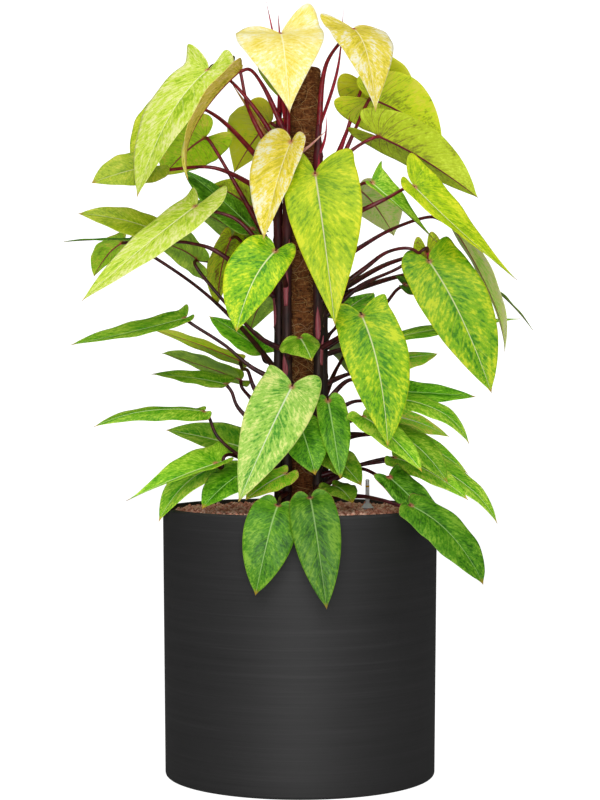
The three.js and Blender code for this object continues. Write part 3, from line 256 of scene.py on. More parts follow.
# Heart outlines of a young and a grown leaf, one half from the notch at the stalk round to the tip. A row
# is (back, along, width, root): the way back into the lobe and the width as parts of the leaf's own, and the
# way along and the vein's root on the rib as parts of its length.
YOUNG = np.array([
    (0.00, 0.00, 0.00, 0.00),
    (-0.45, 0.00, 0.07, 0.00),
    (-0.88, 0.00, 0.26, 0.00),
    (-1.00, 0.00, 0.52, 0.00),
    (-0.72, 0.00, 0.80, 0.00),
    (-0.18, 0.02, 0.97, 0.00),
    (0.00, 0.15, 1.00, 0.03),
    (0.00, 0.30, 0.94, 0.11),
    (0.00, 0.46, 0.78, 0.24),
    (0.00, 0.62, 0.56, 0.41),
    (0.00, 0.77, 0.33, 0.60),
    (0.00, 0.89, 0.14, 0.78),
    (0.00, 0.96, 0.04, 0.90),
    (0.00, 1.00, 0.00, 1.00),
])
GROWN = np.array([
    (0.00, 0.00, 0.00, 0.00),
    (-0.45, 0.00, 0.07, 0.00),
    (-0.90, 0.00, 0.24, 0.00),
    (-1.00, 0.00, 0.48, 0.00),
    (-0.66, 0.00, 0.74, 0.00),
    (-0.12, 0.02, 0.90, 0.00),
    (0.00, 0.15, 0.98, 0.03),
    (0.00, 0.30, 1.00, 0.12),
    (0.00, 0.46, 0.93, 0.27),
    (0.00, 0.62, 0.77, 0.44),
    (0.00, 0.77, 0.53, 0.62),
    (0.00, 0.89, 0.27, 0.79),
    (0.00, 0.96, 0.08, 0.91),
    (0.00, 1.00, 0.00, 1.00),
])

# How a leaf lies where its row says nothing else: arch of the rib and where it peaks, sideways sweep, the
# halves' fold and the twist towards the tip in degrees, droop of the margin, lift and splay of the lobes,
# the margin's waves, and 1 for a grown outline or 0 for a young one. The light is painted light and shade:
# a light over 1 makes a leaf's colours lighter, painting in light where the leaf lies in shade, and one
# under 1 makes them darker, painting shade on a leaf in full light.
LEAF_DEFAULTS = {
    "slot": None, "light": 1.0, "bow": 0.015, "peak": 0.45, "sweep": 0.0, "fold": 10, "twist": 0,
    "cup": 0.006, "lift": (0.006, 0.006), "splay": (0, 0), "wave": 0.0012, "waves": 3, "grown": 1,
}


def leaf_row(name, **row):
    """A leaf's row, with the defaults for what it doesn't say."""
    return {**LEAF_DEFAULTS, "name": name, **row}


# The leaves. Each has its stem and the height at which its stalk leaves it, then the stalk's points, the
# hinge and the tip as seen from the front (across, depth, up), the way its face looks, and the width and
# lobe length of its left and right half. A leaf with a slot is a node of the part of its own, and the
# others are fused to their stem.
LEAVES = [
    leaf_row(
        "crown_left", slot="yellow", look="butter", stem="front_left", root=0.978,
        via=[(-0.02, -0.028, 1.069)], hinge=(-0.03, -0.02, 1.161), tip=(-0.016, -0.17, 1.036),
        face=(0, -6, 6), wide=(0.072, 0.066), lobes=(0.032, 0.062), bow=0.024, fold=8, grown=0,
        lift=(0.006, 0.034), splay=(0.05, 0.25),
    ),
    leaf_row(
        "crown_right", slot="yellow", look="cream", light=0.85, stem="front_right", root=0.997,
        via=[(0.042, -0.02, 1.115)], hinge=(0.085, -0.005, 1.168), tip=(0.119, -0.13, 1.038),
        face=(2, -6, 6), wide=(0.046, 0.052), lobes=(0.05, 0.026), bow=0.022, fold=6, grown=0,
        lift=(0.01, 0.002), splay=(0.4, 0),
    ),
    leaf_row(
        "lime_left", slot="lime", look="lime_pale", stem="front_left", root=0.955,
        via=[(-0.06, -0.024, 1.028), (-0.104, -0.025, 1.082)], hinge=(-0.145, -0.012, 1.104),
        tip=(-0.256, -0.095, 0.904), face=(-5, -7, 4), wide=(0.062, 0.054), lobes=(0.034, 0.044), bow=0.022,
        fold=8, twist=10, lift=(0.022, 0.01), splay=(0.5, -0.25),
    ),
    leaf_row(
        "lime_left_behind", slot="lime", look="lime", stem="back_left", root=0.931,
        via=[(-0.134, 0.048, 1.033)], hinge=(-0.201, 0.04, 1.051), tip=(-0.261, 0.05, 0.944),
        face=(-4, -7, 5), wide=(0.042, 0.04), lobes=(0.012, 0.012), bow=0.014,
    ),
    leaf_row(
        "high_left", slot="fresh", look="lime", light=0.75, stem="back_left", root=0.9,
        via=[(-0.134, 0.034, 0.95)], hinge=(-0.231, -0.01, 0.953), tip=(-0.328, -0.06, 0.926),
        face=(-1, -7, 5), wide=(0.04, 0.038), lobes=(0.018, 0.018), bow=0.004,
    ),
    leaf_row(
        "high_left_turned", look="fresh", light=2.6, stem="back_left", root=0.802,
        via=[(-0.107, 0.032, 0.934)], hinge=(-0.15, 0.04, 0.997), tip=(-0.215, 0.095, 0.937),
        face=(-3, 9, 4), wide=(0.048, 0.062), lobes=(0.04, 0.044), bow=0.01,
    ),
    leaf_row(
        "peach_edge", slot="peach", look="peach", light=1.4, stem="front_left", root=0.994,
        via=[(-0.06, -0.05, 1.082)], hinge=(-0.094, -0.072, 1.102), tip=(-0.176, -0.14, 0.931),
        face=(-9, 0, 4), wide=(0.038, 0.036), lobes=(0.014, 0.01), bow=0.026, sweep=0.006, cup=0.003,
        peak=0.6, fold=22, lift=(0.004, 0.004),
    ),
    leaf_row(
        "olive_high_left", look="olive", stem="back_left", root=0.955, via=[(-0.079, -0.004, 1.038)],
        hinge=(-0.108, 0.065, 1.112), tip=(-0.146, 0.088, 1.066), face=(-4, 6, 5), wide=(0.016, 0.026),
        lobes=(0.016, 0.016), bow=0.01,
    ),
    leaf_row(
        "high_left_back", slot="lime", look="lime", light=2.4, stem="back_left", root=0.978,
        via=[(-0.031, 0.046, 1.01)], hinge=(-0.046, 0.06, 1.021), tip=(-0.104, 0.16, 0.942),
        face=(-2, 9, 4), wide=(0.046, 0.06), lobes=(0.03, 0.06), bow=0.014, grown=0.3, splay=(0, 0.25),
    ),
    leaf_row(
        "high_right_back", slot="lime", look="lime", light=2.4, stem="back_right", root=0.923,
        via=[(0.072, 0.034, 1.003)], hinge=(0.104, 0.05, 1.079), tip=(0.17, 0.12, 0.966), face=(1, 9, 3),
        wide=(0.07, 0.048), lobes=(0.044, 0.04), bow=0.014, grown=0,
    ),
    leaf_row(
        "high_right", slot="lime", look="lime", light=1.8, stem="back_right", root=0.9,
        via=[(0.082, 0.012, 1.0)], hinge=(0.112, 0.01, 1.058), tip=(0.225, 0.09, 0.994), face=(1, 9, 4),
        wide=(0.06, 0.056), lobes=(0.052, 0.064), bow=0.016,
    ),
    leaf_row(
        "right_red_veined", slot="lime", look="lime", light=1.2, stem="front_right", root=0.918,
        via=[(0.082, -0.026, 0.978)], hinge=(0.124, -0.02, 0.999), tip=(0.28, 0.03, 0.903), face=(2, 8, 6),
        wide=(0.052, 0.044), lobes=(0.044, 0.044), bow=0.012, cup=0.003, fold=30,
    ),
    leaf_row(
        "cream_centre", slot="cream", look="cream", stem="front_left", root=0.923,
        via=[(-0.024, -0.05, 0.95)], hinge=(-0.014, -0.07, 0.991), tip=(-0.057, -0.126, 0.838),
        face=(-4, -8, 2), wide=(0.052, 0.03), lobes=(0.018, 0.014), bow=0.008, cup=0.004, fold=14,
        grown=0.5,
    ),
    leaf_row(
        "centre_large", slot="lime", look="mottled_yellow", light=0.9, stem="front_right", root=0.876,
        via=[(0.033, -0.062, 0.912)], hinge=(0.024, -0.09, 0.94), tip=(0.055, -0.17, 0.702),
        face=(0, -8, 3), wide=(0.052, 0.066), lobes=(0.056, 0.04), bow=0.018, fold=6, grown=0.2,
        splay=(0.15, 0.35),
    ),
    leaf_row(
        "right_narrow", look="fresh", light=1.5, stem="front_right", root=0.876,
        via=[(0.079, -0.032, 0.915)], hinge=(0.113, -0.015, 0.926), tip=(0.22, -0.02, 0.829),
        face=(3, -7, 4), wide=(0.014, 0.028), lobes=(0.009, 0.012), bow=0.002, cup=0.003, fold=30,
        twist=-55, grown=-0.8, lift=(0.0, 0.006), splay=(0, 0.7),
    ),
    leaf_row(
        "right_pale_back", look="pale", light=2.0, stem="back_right", root=0.852, via=[(0.079, 0.05, 0.89)],
        hinge=(0.094, 0.08, 0.915), tip=(0.148, 0.18, 0.843), face=(2, 7, 5), wide=(0.05, 0.042),
        lobes=(0.02, 0.02), bow=0.01,
    ),
    leaf_row(
        "right_yellow", slot="lime", look="mottled_yellow", stem="front_right", root=0.849,
        via=[(0.134, -0.052, 0.901)], hinge=(0.18, -0.04, 0.92), tip=(0.341, -0.06, 0.774), face=(3, -6, 7),
        wide=(0.034, 0.052), lobes=(0.02, 0.05), bow=0.002, sweep=0.008, cup=0.004, fold=15, twist=-25,
        grown=0, splay=(0, 0.25),
    ),
    leaf_row(
        "left_variegated", slot="fresh", look="lime_pale", stem="front_left", root=0.766,
        via=[(-0.097, -0.048, 0.867)], hinge=(-0.165, -0.06, 0.889), tip=(-0.343, -0.15, 0.741),
        face=(-4, -7, 5), wide=(0.036, 0.046), lobes=(0.028, 0.056), bow=0.004, grown=0.6,
        splay=(0.5, -0.15),
    ),
    leaf_row(
        "left_middle", slot="green", look="lime", light=0.8, stem="back_left", root=0.742,
        via=[(-0.135, -0.032, 0.821), (-0.173, -0.022, 0.832)], hinge=(-0.22, 0.02, 0.848),
        tip=(-0.349, -0.005, 0.878), face=(-1, -6, 7), wide=(0.036, 0.038), lobes=(0.01, 0.01), bow=0.008,
    ),
    leaf_row(
        "left_level_far", look="green", stem="back_left", root=0.758,
        via=[(-0.072, 0.15, 0.793), (-0.173, 0.195, 0.808), (-0.233, 0.15, 0.827)],
        hinge=(-0.256, 0.1, 0.837), tip=(-0.372, 0.09, 0.834), face=(-1, -1, 9), wide=(0.034, 0.034),
        lobes=(0.02, 0.02), bow=0.002,
    ),
    leaf_row(
        "left_hanging", look="green", light=3.5, stem="back_left", root=0.629,
        via=[(-0.101, 0.09, 0.708), (-0.176, 0.155, 0.774)], hinge=(-0.28, 0.165, 0.832),
        tip=(-0.324, 0.185, 0.779), face=(-5, 5, 4), wide=(0.018, 0.036), lobes=(0.02, 0.02), bow=0.008,
    ),
    leaf_row(
        "left_dark_upper", slot="dark", look="dark", light=1.9, stem="back_left", root=0.793, via=[],
        hinge=(-0.075, 0.035, 0.854), tip=(-0.184, 0.125, 0.948), face=(2, -4, 7), wide=(0.032, 0.046),
        lobes=(0.02, 0.02), bow=0.004,
    ),
    leaf_row(
        "left_olive_turned", slot="green", look="green", light=2, stem="back_left", root=0.771, via=[],
        hinge=(-0.072, 0.075, 0.83), tip=(-0.185, 0.185, 0.895), face=(-1, 7, 6), wide=(0.042, 0.042),
        lobes=(0.024, 0.024), bow=0.006,
    ),
    leaf_row(
        "left_turned_low", slot="green", look="green", light=2, stem="front_left", root=0.661,
        via=[(-0.06, -0.014, 0.681), (-0.09, 0.004, 0.709), (-0.127, 0.022, 0.749)],
        hinge=(-0.162, 0.03, 0.806), tip=(-0.236, 0.13, 0.837), face=(-2, 8, 4), wide=(0.042, 0.048),
        lobes=(0.018, 0.044), bow=0.008,
    ),
    leaf_row(
        "left_olive_back", look="olive", light=2.8, stem="back_left", root=0.821,
        via=[(-0.03, 0.05, 0.843), (-0.05, 0.11, 0.878)], hinge=(-0.075, 0.11, 0.887),
        tip=(-0.138, 0.16, 0.925), face=(-1, 8, 4), wide=(0.034, 0.034), lobes=(0.02, 0.02), bow=0.006,
    ),
    leaf_row(
        "left_olive_hanging", look="olive", light=4, stem="back_left", root=0.742, via=[],
        hinge=(-0.108, 0.06, 0.84), tip=(-0.13, 0.15, 0.733), face=(-5, 5, 3), wide=(0.036, 0.034),
        lobes=(0.024, 0.024), bow=0.008,
    ),
    leaf_row(
        "centre_left_small", slot="fresh", look="mottled", light=1.2, stem="front_left", root=0.758,
        via=[(-0.031, -0.072, 0.799)], hinge=(-0.039, -0.11, 0.819), tip=(-0.1, -0.17, 0.692),
        face=(0, -8, 4), wide=(0.05, 0.036), lobes=(0.009, 0.026), bow=0.01, sweep=0.008,
    ),
    leaf_row(
        "right_pale_turned", slot="pale", look="pale", light=2, stem="front_right", root=0.782,
        via=[(0.083, -0.008, 0.818), (0.145, 0.01, 0.854), (0.207, 0.03, 0.873)],
        hinge=(0.237, 0.04, 0.863), tip=(0.322, 0.06, 0.661), face=(8, 3, 4), wide=(0.032, 0.036),
        lobes=(0.044, 0.016), bow=0.016, cup=0.003, peak=0.65, fold=20,
    ),
    leaf_row(
        "right_far_edge", look="fresh", stem="back_right", root=0.742,
        via=[(0.157, 0.11, 0.78), (0.228, 0.14, 0.79)], hinge=(0.273, 0.145, 0.78),
        tip=(0.366, 0.165, 0.695), face=(8, 0, 6), wide=(0.024, 0.024), lobes=(0.014, 0.014), bow=0.008,
        cup=0.0, fold=4,
    ),
    leaf_row(
        "right_large", slot="fresh", look="mottled", light=0.9, stem="front_right", root=0.735,
        via=[(0.099, -0.034, 0.79), (0.138, -0.048, 0.818), (0.174, -0.06, 0.823)],
        hinge=(0.203, -0.06, 0.803), tip=(0.301, -0.15, 0.596), face=(1, -8, 3), wide=(0.052, 0.058),
        lobes=(0.028, 0.028), bow=0.012, sweep=-0.004, fold=6, splay=(0, 0.3),
    ),
    leaf_row(
        "right_olive_back", look="olive", light=3.5, stem="back_right", root=0.714,
        via=[(0.094, 0.02, 0.764), (0.157, 0.034, 0.794)], hinge=(0.2, 0.04, 0.818),
        tip=(0.22, 0.07, 0.711), face=(0, 8, 3), wide=(0.03, 0.026), lobes=(0.03, 0.026), bow=0.006,
    ),
    leaf_row(
        "right_back_tip", look="green", stem="back_right", root=0.742,
        via=[(0.145, 0.085, 0.802), (0.204, 0.095, 0.812)], hinge=(0.239, 0.085, 0.793),
        tip=(0.294, 0.13, 0.744), face=(4, 4, 5), wide=(0.024, 0.024), lobes=(0.014, 0.014), bow=0.004,
    ),
    leaf_row(
        "right_small_dark", look="dark", stem="back_right", root=0.664, via=[(0.126, 0.05, 0.727)],
        hinge=(0.165, 0.075, 0.766), tip=(0.22, 0.135, 0.755), face=(0, -6, 5), wide=(0.026, 0.026),
        lobes=(0.022, 0.014), bow=0.004,
    ),
    leaf_row(
        "front_right_large", slot="fresh", look="mottled", stem="front_right", root=0.664,
        via=[(0.072, -0.068, 0.692)], hinge=(0.097, -0.11, 0.718), tip=(0.138, -0.2, 0.512),
        face=(1, -8, 3), wide=(0.048, 0.052), lobes=(0.026, 0.028), bow=0.014, sweep=-0.006, fold=6,
        splay=(0.1, 0.4),
    ),
    leaf_row(
        "right_dark_back", look="dark", light=5, stem="back_right", root=0.672, via=[],
        hinge=(0.06, 0.04, 0.714), tip=(0.116, 0.15, 0.754), face=(-2, -5, 7), wide=(0.032, 0.032),
        lobes=(0.014, 0.014), bow=0.004,
    ),
    leaf_row(
        "small_curled", look="fresh", light=1.2, stem="front_left", root=0.645,
        via=[(-0.014, -0.044, 0.664)], hinge=(0.0, -0.06, 0.683), tip=(0.019, -0.12, 0.646),
        face=(0, -6, 6), wide=(0.036, 0.028), lobes=(0.01, 0.009), bow=0.004, fold=-8, grown=0,
    ),
    leaf_row(
        "left_low_back", slot="green", look="green", light=2.7, stem="back_left", root=0.629, via=[],
        hinge=(-0.06, 0.06, 0.661), tip=(-0.143, 0.14, 0.717), face=(1, -3, 8), wide=(0.036, 0.036),
        lobes=(0.014, 0.016), bow=0.004,
    ),
    leaf_row(
        "left_long", slot="green", look="fresh", light=1.2, stem="front_left", root=0.609,
        via=[(-0.075, -0.024, 0.636), (-0.119, -0.022, 0.672)], hinge=(-0.181, -0.02, 0.714),
        tip=(-0.36, -0.08, 0.672), face=(-2, -3.2, 9), wide=(0.048, 0.03), lobes=(0.014, 0.012), bow=-0.002,
        lift=(0.012, 0.004),
    ),
    leaf_row(
        "left_lime_turned", slot="fresh", look="fresh", light=3, stem="back_left", root=0.554,
        via=[(-0.072, -0.034, 0.604), (-0.082, -0.02, 0.631)], hinge=(-0.094, 0.016, 0.647),
        tip=(-0.24, 0.08, 0.699), face=(-2, 4, 7), wide=(0.028, 0.03), lobes=(0.009, 0.009), bow=0.003,
    ),
    leaf_row(
        "left_dark_turned", slot="green", look="green", light=1.8, stem="back_left", root=0.541,
        via=[(-0.079, 0.024, 0.59)], hinge=(-0.093, 0.026, 0.617), tip=(-0.217, 0.12, 0.659),
        face=(-2, 5, 6), wide=(0.024, 0.042), lobes=(0.009, 0.009), bow=0.002,
    ),
    leaf_row(
        "left_dark_narrow", slot="dark", look="fresh", light=0.9, stem="front_left", root=0.507,
        via=[(-0.097, -0.016, 0.573)], hinge=(-0.116, -0.01, 0.61), tip=(-0.234, 0.04, 0.626),
        face=(-1, -2.5, 9), wide=(0.038, 0.022), lobes=(0.009, 0.009), bow=0.003,
    ),
    leaf_row(
        "left_level", slot="green", look="fresh", light=1.25, stem="front_left", root=0.472,
        via=[(-0.075, -0.03, 0.486), (-0.129, -0.038, 0.527)], hinge=(-0.152, -0.04, 0.568),
        tip=(-0.324, -0.11, 0.543), face=(-1, -4, 8), wide=(0.038, 0.024), lobes=(0.009, 0.009), bow=0.014,
        peak=0.55, fold=-8,
    ),
    leaf_row(
        "low_left_dark", slot="dark", look="fresh", light=1.1, stem="back_left", root=0.469, via=[],
        hinge=(-0.082, 0.06, 0.508), tip=(-0.211, 0.12, 0.538), face=(-1, -5, 6), wide=(0.042, 0.02),
        lobes=(0.014, 0.009), bow=0.004,
    ),
    leaf_row(
        "low_left_bright", slot="fresh", look="fresh", light=1.6, stem="front_left", root=0.447,
        via=[(-0.097, -0.02, 0.496), (-0.119, -0.05, 0.496)], hinge=(-0.132, -0.06, 0.485),
        tip=(-0.273, -0.15, 0.427), face=(-2, -4, 7), wide=(0.042, 0.034), lobes=(0.044, 0.02), bow=0.003,
        cup=0.004, fold=25, grown=-0.6, lift=(0.004, 0.004), splay=(0.3, 0),
    ),
    leaf_row(
        "low_left_rim", slot="green", look="fresh", light=1.8, stem="back_left", root=0.447,
        via=[(-0.085, 0.008, 0.469)], hinge=(-0.107, 0.006, 0.48), tip=(-0.222, -0.07, 0.394),
        face=(-5, -5, 6), wide=(0.048, 0.044), lobes=(0.026, 0.026), bow=0.026,
    ),
    leaf_row(
        "low_left_inner", slot="green", look="green", light=1.4, stem="front_left", root=0.438,
        via=[(-0.055, -0.038, 0.463)], hinge=(-0.079, -0.06, 0.475), tip=(-0.154, -0.12, 0.414),
        face=(-3, -5, 6), wide=(0.042, 0.044), lobes=(0.02, 0.02), bow=0.008,
    ),
    leaf_row(
        "front_left_large", slot="fresh", look="fresh_pale", stem="front_left", root=0.546,
        via=[(-0.016, -0.076, 0.582)], hinge=(-0.013, -0.12, 0.606), tip=(-0.097, -0.19, 0.424),
        face=(0, -8, 3), wide=(0.05, 0.048), lobes=(0.02, 0.032), bow=0.012, fold=6, grown=0.5,
        splay=(0.35, 0.15),
    ),
    leaf_row(
        "front_centre", slot="green", look="green", light=1.4, stem="front_right", root=0.522,
        via=[(0.042, -0.044, 0.562)], hinge=(0.044, -0.06, 0.584), tip=(0.064, -0.11, 0.46),
        face=(0, -8, 4), wide=(0.021, 0.028), lobes=(0.009, 0.009), bow=0.01,
    ),
    leaf_row(
        "front_low_left", look="green", light=1.5, stem="front_left", root=0.499, via=[],
        hinge=(0.0, -0.066, 0.546), tip=(0.024, -0.105, 0.467), face=(0, -6, 5), wide=(0.036, 0.036),
        lobes=(0.016, 0.016), bow=0.008,
    ),
    leaf_row(
        "front_low_dark", look="fresh", light=1, stem="front_right", root=0.475, via=[],
        hinge=(0.041, -0.05, 0.504), tip=(0.097, -0.095, 0.45), face=(2, -6, 6), wide=(0.028, 0.032),
        lobes=(0.014, 0.014), bow=0.006,
    ),
    leaf_row(
        "front_low_round", look="fresh", light=0.7, stem="front_right", root=0.433, via=[],
        hinge=(0.052, -0.068, 0.45), tip=(0.083, -0.114, 0.423), face=(1, -4, 7), wide=(0.028, 0.028),
        lobes=(0.014, 0.014), bow=0.006,
    ),
    leaf_row(
        "rim_left", slot="green", look="green", stem="front_left", root=0.441, via=[(-0.03, -0.1, 0.433)],
        hinge=(-0.035, -0.205, 0.419), tip=(-0.07, -0.252, 0.278), face=(0, -8, 3), wide=(0.038, 0.038),
        lobes=(0.018, 0.009), bow=0.03, peak=0.35, fold=8, grown=1.3,
    ),
    leaf_row(
        "rim_right", slot="green", look="green", light=0.75, stem="front_right", root=0.45,
        via=[(0.025, -0.1, 0.444)], hinge=(0.016, -0.21, 0.431), tip=(0.042, -0.285, 0.256),
        face=(0, -8, 3), wide=(0.035, 0.036), lobes=(0.015, 0.015), bow=0.03, peak=0.35, fold=8, grown=1.2,
    ),
    leaf_row(
        "right_level_upper", slot="dark", look="fresh", light=1.8, stem="back_right", root=0.656, via=[],
        hinge=(0.134, 0.04, 0.68), tip=(0.346, 0.15, 0.713), face=(0, -2, 9), wide=(0.034, 0.034),
        lobes=(0.02, 0.02), bow=0.004,
    ),
    leaf_row(
        "right_level_back", look="fresh", light=2.6, stem="back_right", root=0.609, via=[],
        hinge=(0.123, 0.06, 0.642), tip=(0.217, 0.14, 0.658), face=(1, -4, 7), wide=(0.032, 0.022),
        lobes=(0.016, 0.016), bow=0.002,
    ),
    leaf_row(
        "right_level_middle", slot="green", look="green", light=2, stem="front_right", root=0.566,
        via=[(0.079, -0.014, 0.617)], hinge=(0.126, 0.02, 0.599), tip=(0.277, 0.06, 0.59), face=(1, -4, 9),
        wide=(0.042, 0.042), lobes=(0.02, 0.02), bow=0.002,
    ),
    leaf_row(
        "right_arched", slot="green", look="fresh", light=1.6, stem="front_right", root=0.546,
        via=[(0.082, -0.03, 0.582)], hinge=(0.132, -0.026, 0.588), tip=(0.266, -0.06, 0.516),
        face=(2, -4, 8), wide=(0.038, 0.03), lobes=(0.02, 0.02), bow=0.026, peak=0.6, grown=1.3,
    ),
    leaf_row(
        "right_low_back", look="fresh", light=3, stem="back_right", root=0.546, via=[],
        hinge=(0.126, 0.115, 0.562), tip=(0.235, 0.19, 0.527), face=(2, -5, 8), wide=(0.036, 0.036),
        lobes=(0.02, 0.02), bow=0.008,
    ),
    leaf_row(
        "right_low_upper", slot="dark", look="fresh", light=2.2, stem="back_right", root=0.522, via=[],
        hinge=(0.134, 0.055, 0.535), tip=(0.264, 0.11, 0.469), face=(3, -5, 8), wide=(0.038, 0.038),
        lobes=(0.02, 0.02), bow=0.012,
    ),
    leaf_row(
        "right_low_lime", slot="fresh", look="fresh", light=1.1, stem="front_right", root=0.499,
        via=[(0.079, -0.02, 0.526)], hinge=(0.145, -0.06, 0.535), tip=(0.232, -0.11, 0.455),
        face=(3, -5, 7), wide=(0.038, 0.038), lobes=(0.018, 0.018), bow=0.012,
    ),
    leaf_row(
        "right_low_front", slot="fresh", look="fresh", light=1.7, stem="front_right", root=0.522,
        via=[(0.071, -0.06, 0.548)], hinge=(0.099, -0.09, 0.559), tip=(0.192, -0.17, 0.472),
        face=(4, -5, 6), wide=(0.04, 0.036), lobes=(0.009, 0.009), bow=0.008,
    ),
    leaf_row(
        "right_low_dark", slot="dark", look="fresh", light=1.9, stem="front_right", root=0.467,
        via=[(0.09, -0.026, 0.482)], hinge=(0.148, -0.03, 0.494), tip=(0.264, -0.06, 0.428),
        face=(3, -5, 8), wide=(0.034, 0.036), lobes=(0.009, 0.009), bow=0.01,
    ),
    leaf_row(
        "right_low_outer", slot="green", look="fresh", light=1.6, stem="back_right", root=0.46,
        via=[(0.091, 0.024, 0.482), (0.138, 0.024, 0.494)], hinge=(0.189, 0.008, 0.494),
        tip=(0.31, -0.012, 0.391), face=(4, -4, 7), wide=(0.032, 0.036), lobes=(0.02, 0.02), bow=0.016,
        peak=0.6,
    ),
    leaf_row(
        "right_low_inner", slot="dark", look="dark", light=1.6, stem="front_right", root=0.447,
        via=[(0.09, -0.05, 0.477)], hinge=(0.14, -0.112, 0.464), tip=(0.234, -0.158, 0.365),
        face=(3, -6, 6), wide=(0.025, 0.036), lobes=(0.014, 0.01), bow=0.004, fold=8, splay=(0.4, 0.3),
    ),
    leaf_row(
        "right_rim_large", slot="green", look="green", light=0.9, stem="front_right", root=0.434,
        via=[(0.091, -0.08, 0.434), (0.129, -0.15, 0.428)], hinge=(0.174, -0.178, 0.419),
        tip=(0.288, -0.222, 0.295), face=(4, -5, 6), wide=(0.05, 0.04), lobes=(0.01, 0.009), bow=0.012,
        sweep=-0.008, grown=1.9,
    ),
    leaf_row(
        "behind_crown", look="lime", stem="back_left", root=1.025, via=[], hinge=(-0.024, 0.09, 1.123),
        tip=(-0.031, 0.21, 1.057), face=(0, 6, 6), wide=(0.044, 0.044), lobes=(0.026, 0.026), bow=0.01,
    ),
    leaf_row(
        "behind_upper", look="fresh", stem="back_right", root=0.86, via=[], hinge=(0.019, 0.13, 0.915),
        tip=(0.039, 0.26, 0.802), face=(1, 6, 5), wide=(0.048, 0.048), lobes=(0.03, 0.03), bow=0.016,
    ),
    leaf_row(
        "behind_middle", look="green", light=2.4, stem="back_left", root=0.672, via=[],
        hinge=(-0.044, 0.12, 0.749), tip=(-0.079, 0.26, 0.692), face=(-2, 6, 6), wide=(0.042, 0.042),
        lobes=(0.024, 0.024), bow=0.016,
    ),
    leaf_row(
        "behind_lower_right", look="green", stem="back_right", root=0.585, via=[],
        hinge=(0.079, 0.13, 0.664), tip=(0.129, 0.275, 0.57), face=(3, 6, 6), wide=(0.048, 0.048),
        lobes=(0.028, 0.028), bow=0.016,
    ),
    leaf_row(
        "behind_lower_left", look="dark", stem="back_left", root=0.522, via=[], hinge=(-0.024, 0.13, 0.593),
        tip=(-0.05, 0.275, 0.504), face=(-2, 6, 6), wide=(0.046, 0.046), lobes=(0.028, 0.028), bow=0.016,
    ),
    leaf_row(
        "front_low_strip", look="fresh", light=2.6, stem="front_left", root=0.46, via=[],
        hinge=(-0.022, -0.06, 0.469), tip=(-0.086, -0.108, 0.428), face=(-2, -5, 6), wide=(0.028, 0.028),
        lobes=(0.012, 0.012), bow=0.004,
    ),
]

# Colours of the leaves' looks. Top and underside go from dark over middle to light, then come the rib's
# colours above and below, and how strongly the underside's veins are red.
LOOKS = {
    "butter": {
        "top": ("ecd43a", "f6e67e", "fdf6cc"), "under": ("d8c648", "eade70", "f6efa8"),
        "rib": ("fff6c4", "b84a40"), "red": 0.15,
    },
    "cream": {
        "top": ("d4c41c", "f6e244", "fdf8d4"), "under": ("d0bc3c", "ead858", "f6efa0"),
        "rib": ("fff3b4", "b84a40"), "red": 0.15,
    },
    "lime_pale": {
        "top": ("98c01a", "cce444", "eef29c"), "under": ("98a828", "b8c838", "d8e06c"),
        "rib": ("f4f4b8", "7a2a2c"), "red": 0.2,
    },
    "lime": {
        "top": ("8cb00c", "b8d41c", "e0e848"), "under": ("86901c", "b4c820", "cce03c"),
        "rib": ("e4e8a0", "701c2c"), "red": 0.45,
    },
    "mottled_yellow": {
        "top": ("7cac02", "b4d406", "e4ec28"), "under": ("86901c", "b4c820", "cce03c"),
        "rib": ("e8e4b0", "701c2c"), "red": 0.3,
    },
    "mottled": {
        "top": ("408802", "80b804", "ccdc20"), "under": ("6a8c10", "94b020", "c0d448"),
        "rib": ("dce4a4", "701c2c"), "red": 0.3,
    },
    "fresh_pale": {
        "top": ("4c9c1c", "a0d24c", "e6f08c"), "under": ("82a850", "a4c468", "c8dc90"),
        "rib": ("e4f0c4", "701c2c"), "red": 0.2,
    },
    "fresh": {
        "top": ("3c8804", "70a818", "accc40"), "under": ("6a8c0c", "88a818", "b4cc3c"),
        "rib": ("cce09c", "6c2028"), "red": 0.35,
    },
    "pale": {
        "top": ("88b440", "b4d470", "dceca4"), "under": ("88b440", "b0d06c", "d4e49c"),
        "rib": ("dce8b4", "7c4a3c"), "red": 0.1,
    },
    "peach": {
        "top": ("a0a014", "d4c844", "f8e090"), "under": ("a8a020", "dcc850", "f8d890"),
        "rib": ("f0dca0", "8c1c30"), "red": 0.2,
    },
    "olive": {
        "top": ("443c08", "64780a", "98a41c"), "under": ("4c3808", "6c7c0c", "9ca01c"),
        "rib": ("a8a84c", "5c1c20"), "red": 0.4,
    },
    "green": {
        "top": ("2a6602", "50920c", "84b82c"), "under": ("4c6c0c", "688c14", "94ac30"),
        "rib": ("a0c874", "601c24"), "red": 0.3,
    },
    "dark": {
        "top": ("1c4202", "3a7008", "6c9c2c"), "under": ("3c5410", "56741c", "849c3c"),
        "rib": ("88b068", "581c22"), "red": 0.25,
    },
}


# Shapes: whole arrays of points and triangles

class Shape:
    """Points and triangles of a piece, each triangle's material number, and values held at the points."""

    def __init__(self, points, triangles, material=0, **values):
        self.points = np.asarray(points, float).reshape(-1, 3)
        self.triangles = np.asarray(triangles, int).reshape(-1, 3)
        self.material = np.broadcast_to(material, len(self.triangles)).copy()
        self.values = {name: np.asarray(value, float) for name, value in values.items()}


def unit(vectors):
    """Each vector divided by its length."""
    return vectors / np.maximum(np.linalg.norm(vectors, axis=-1, keepdims=True), 1e-12)


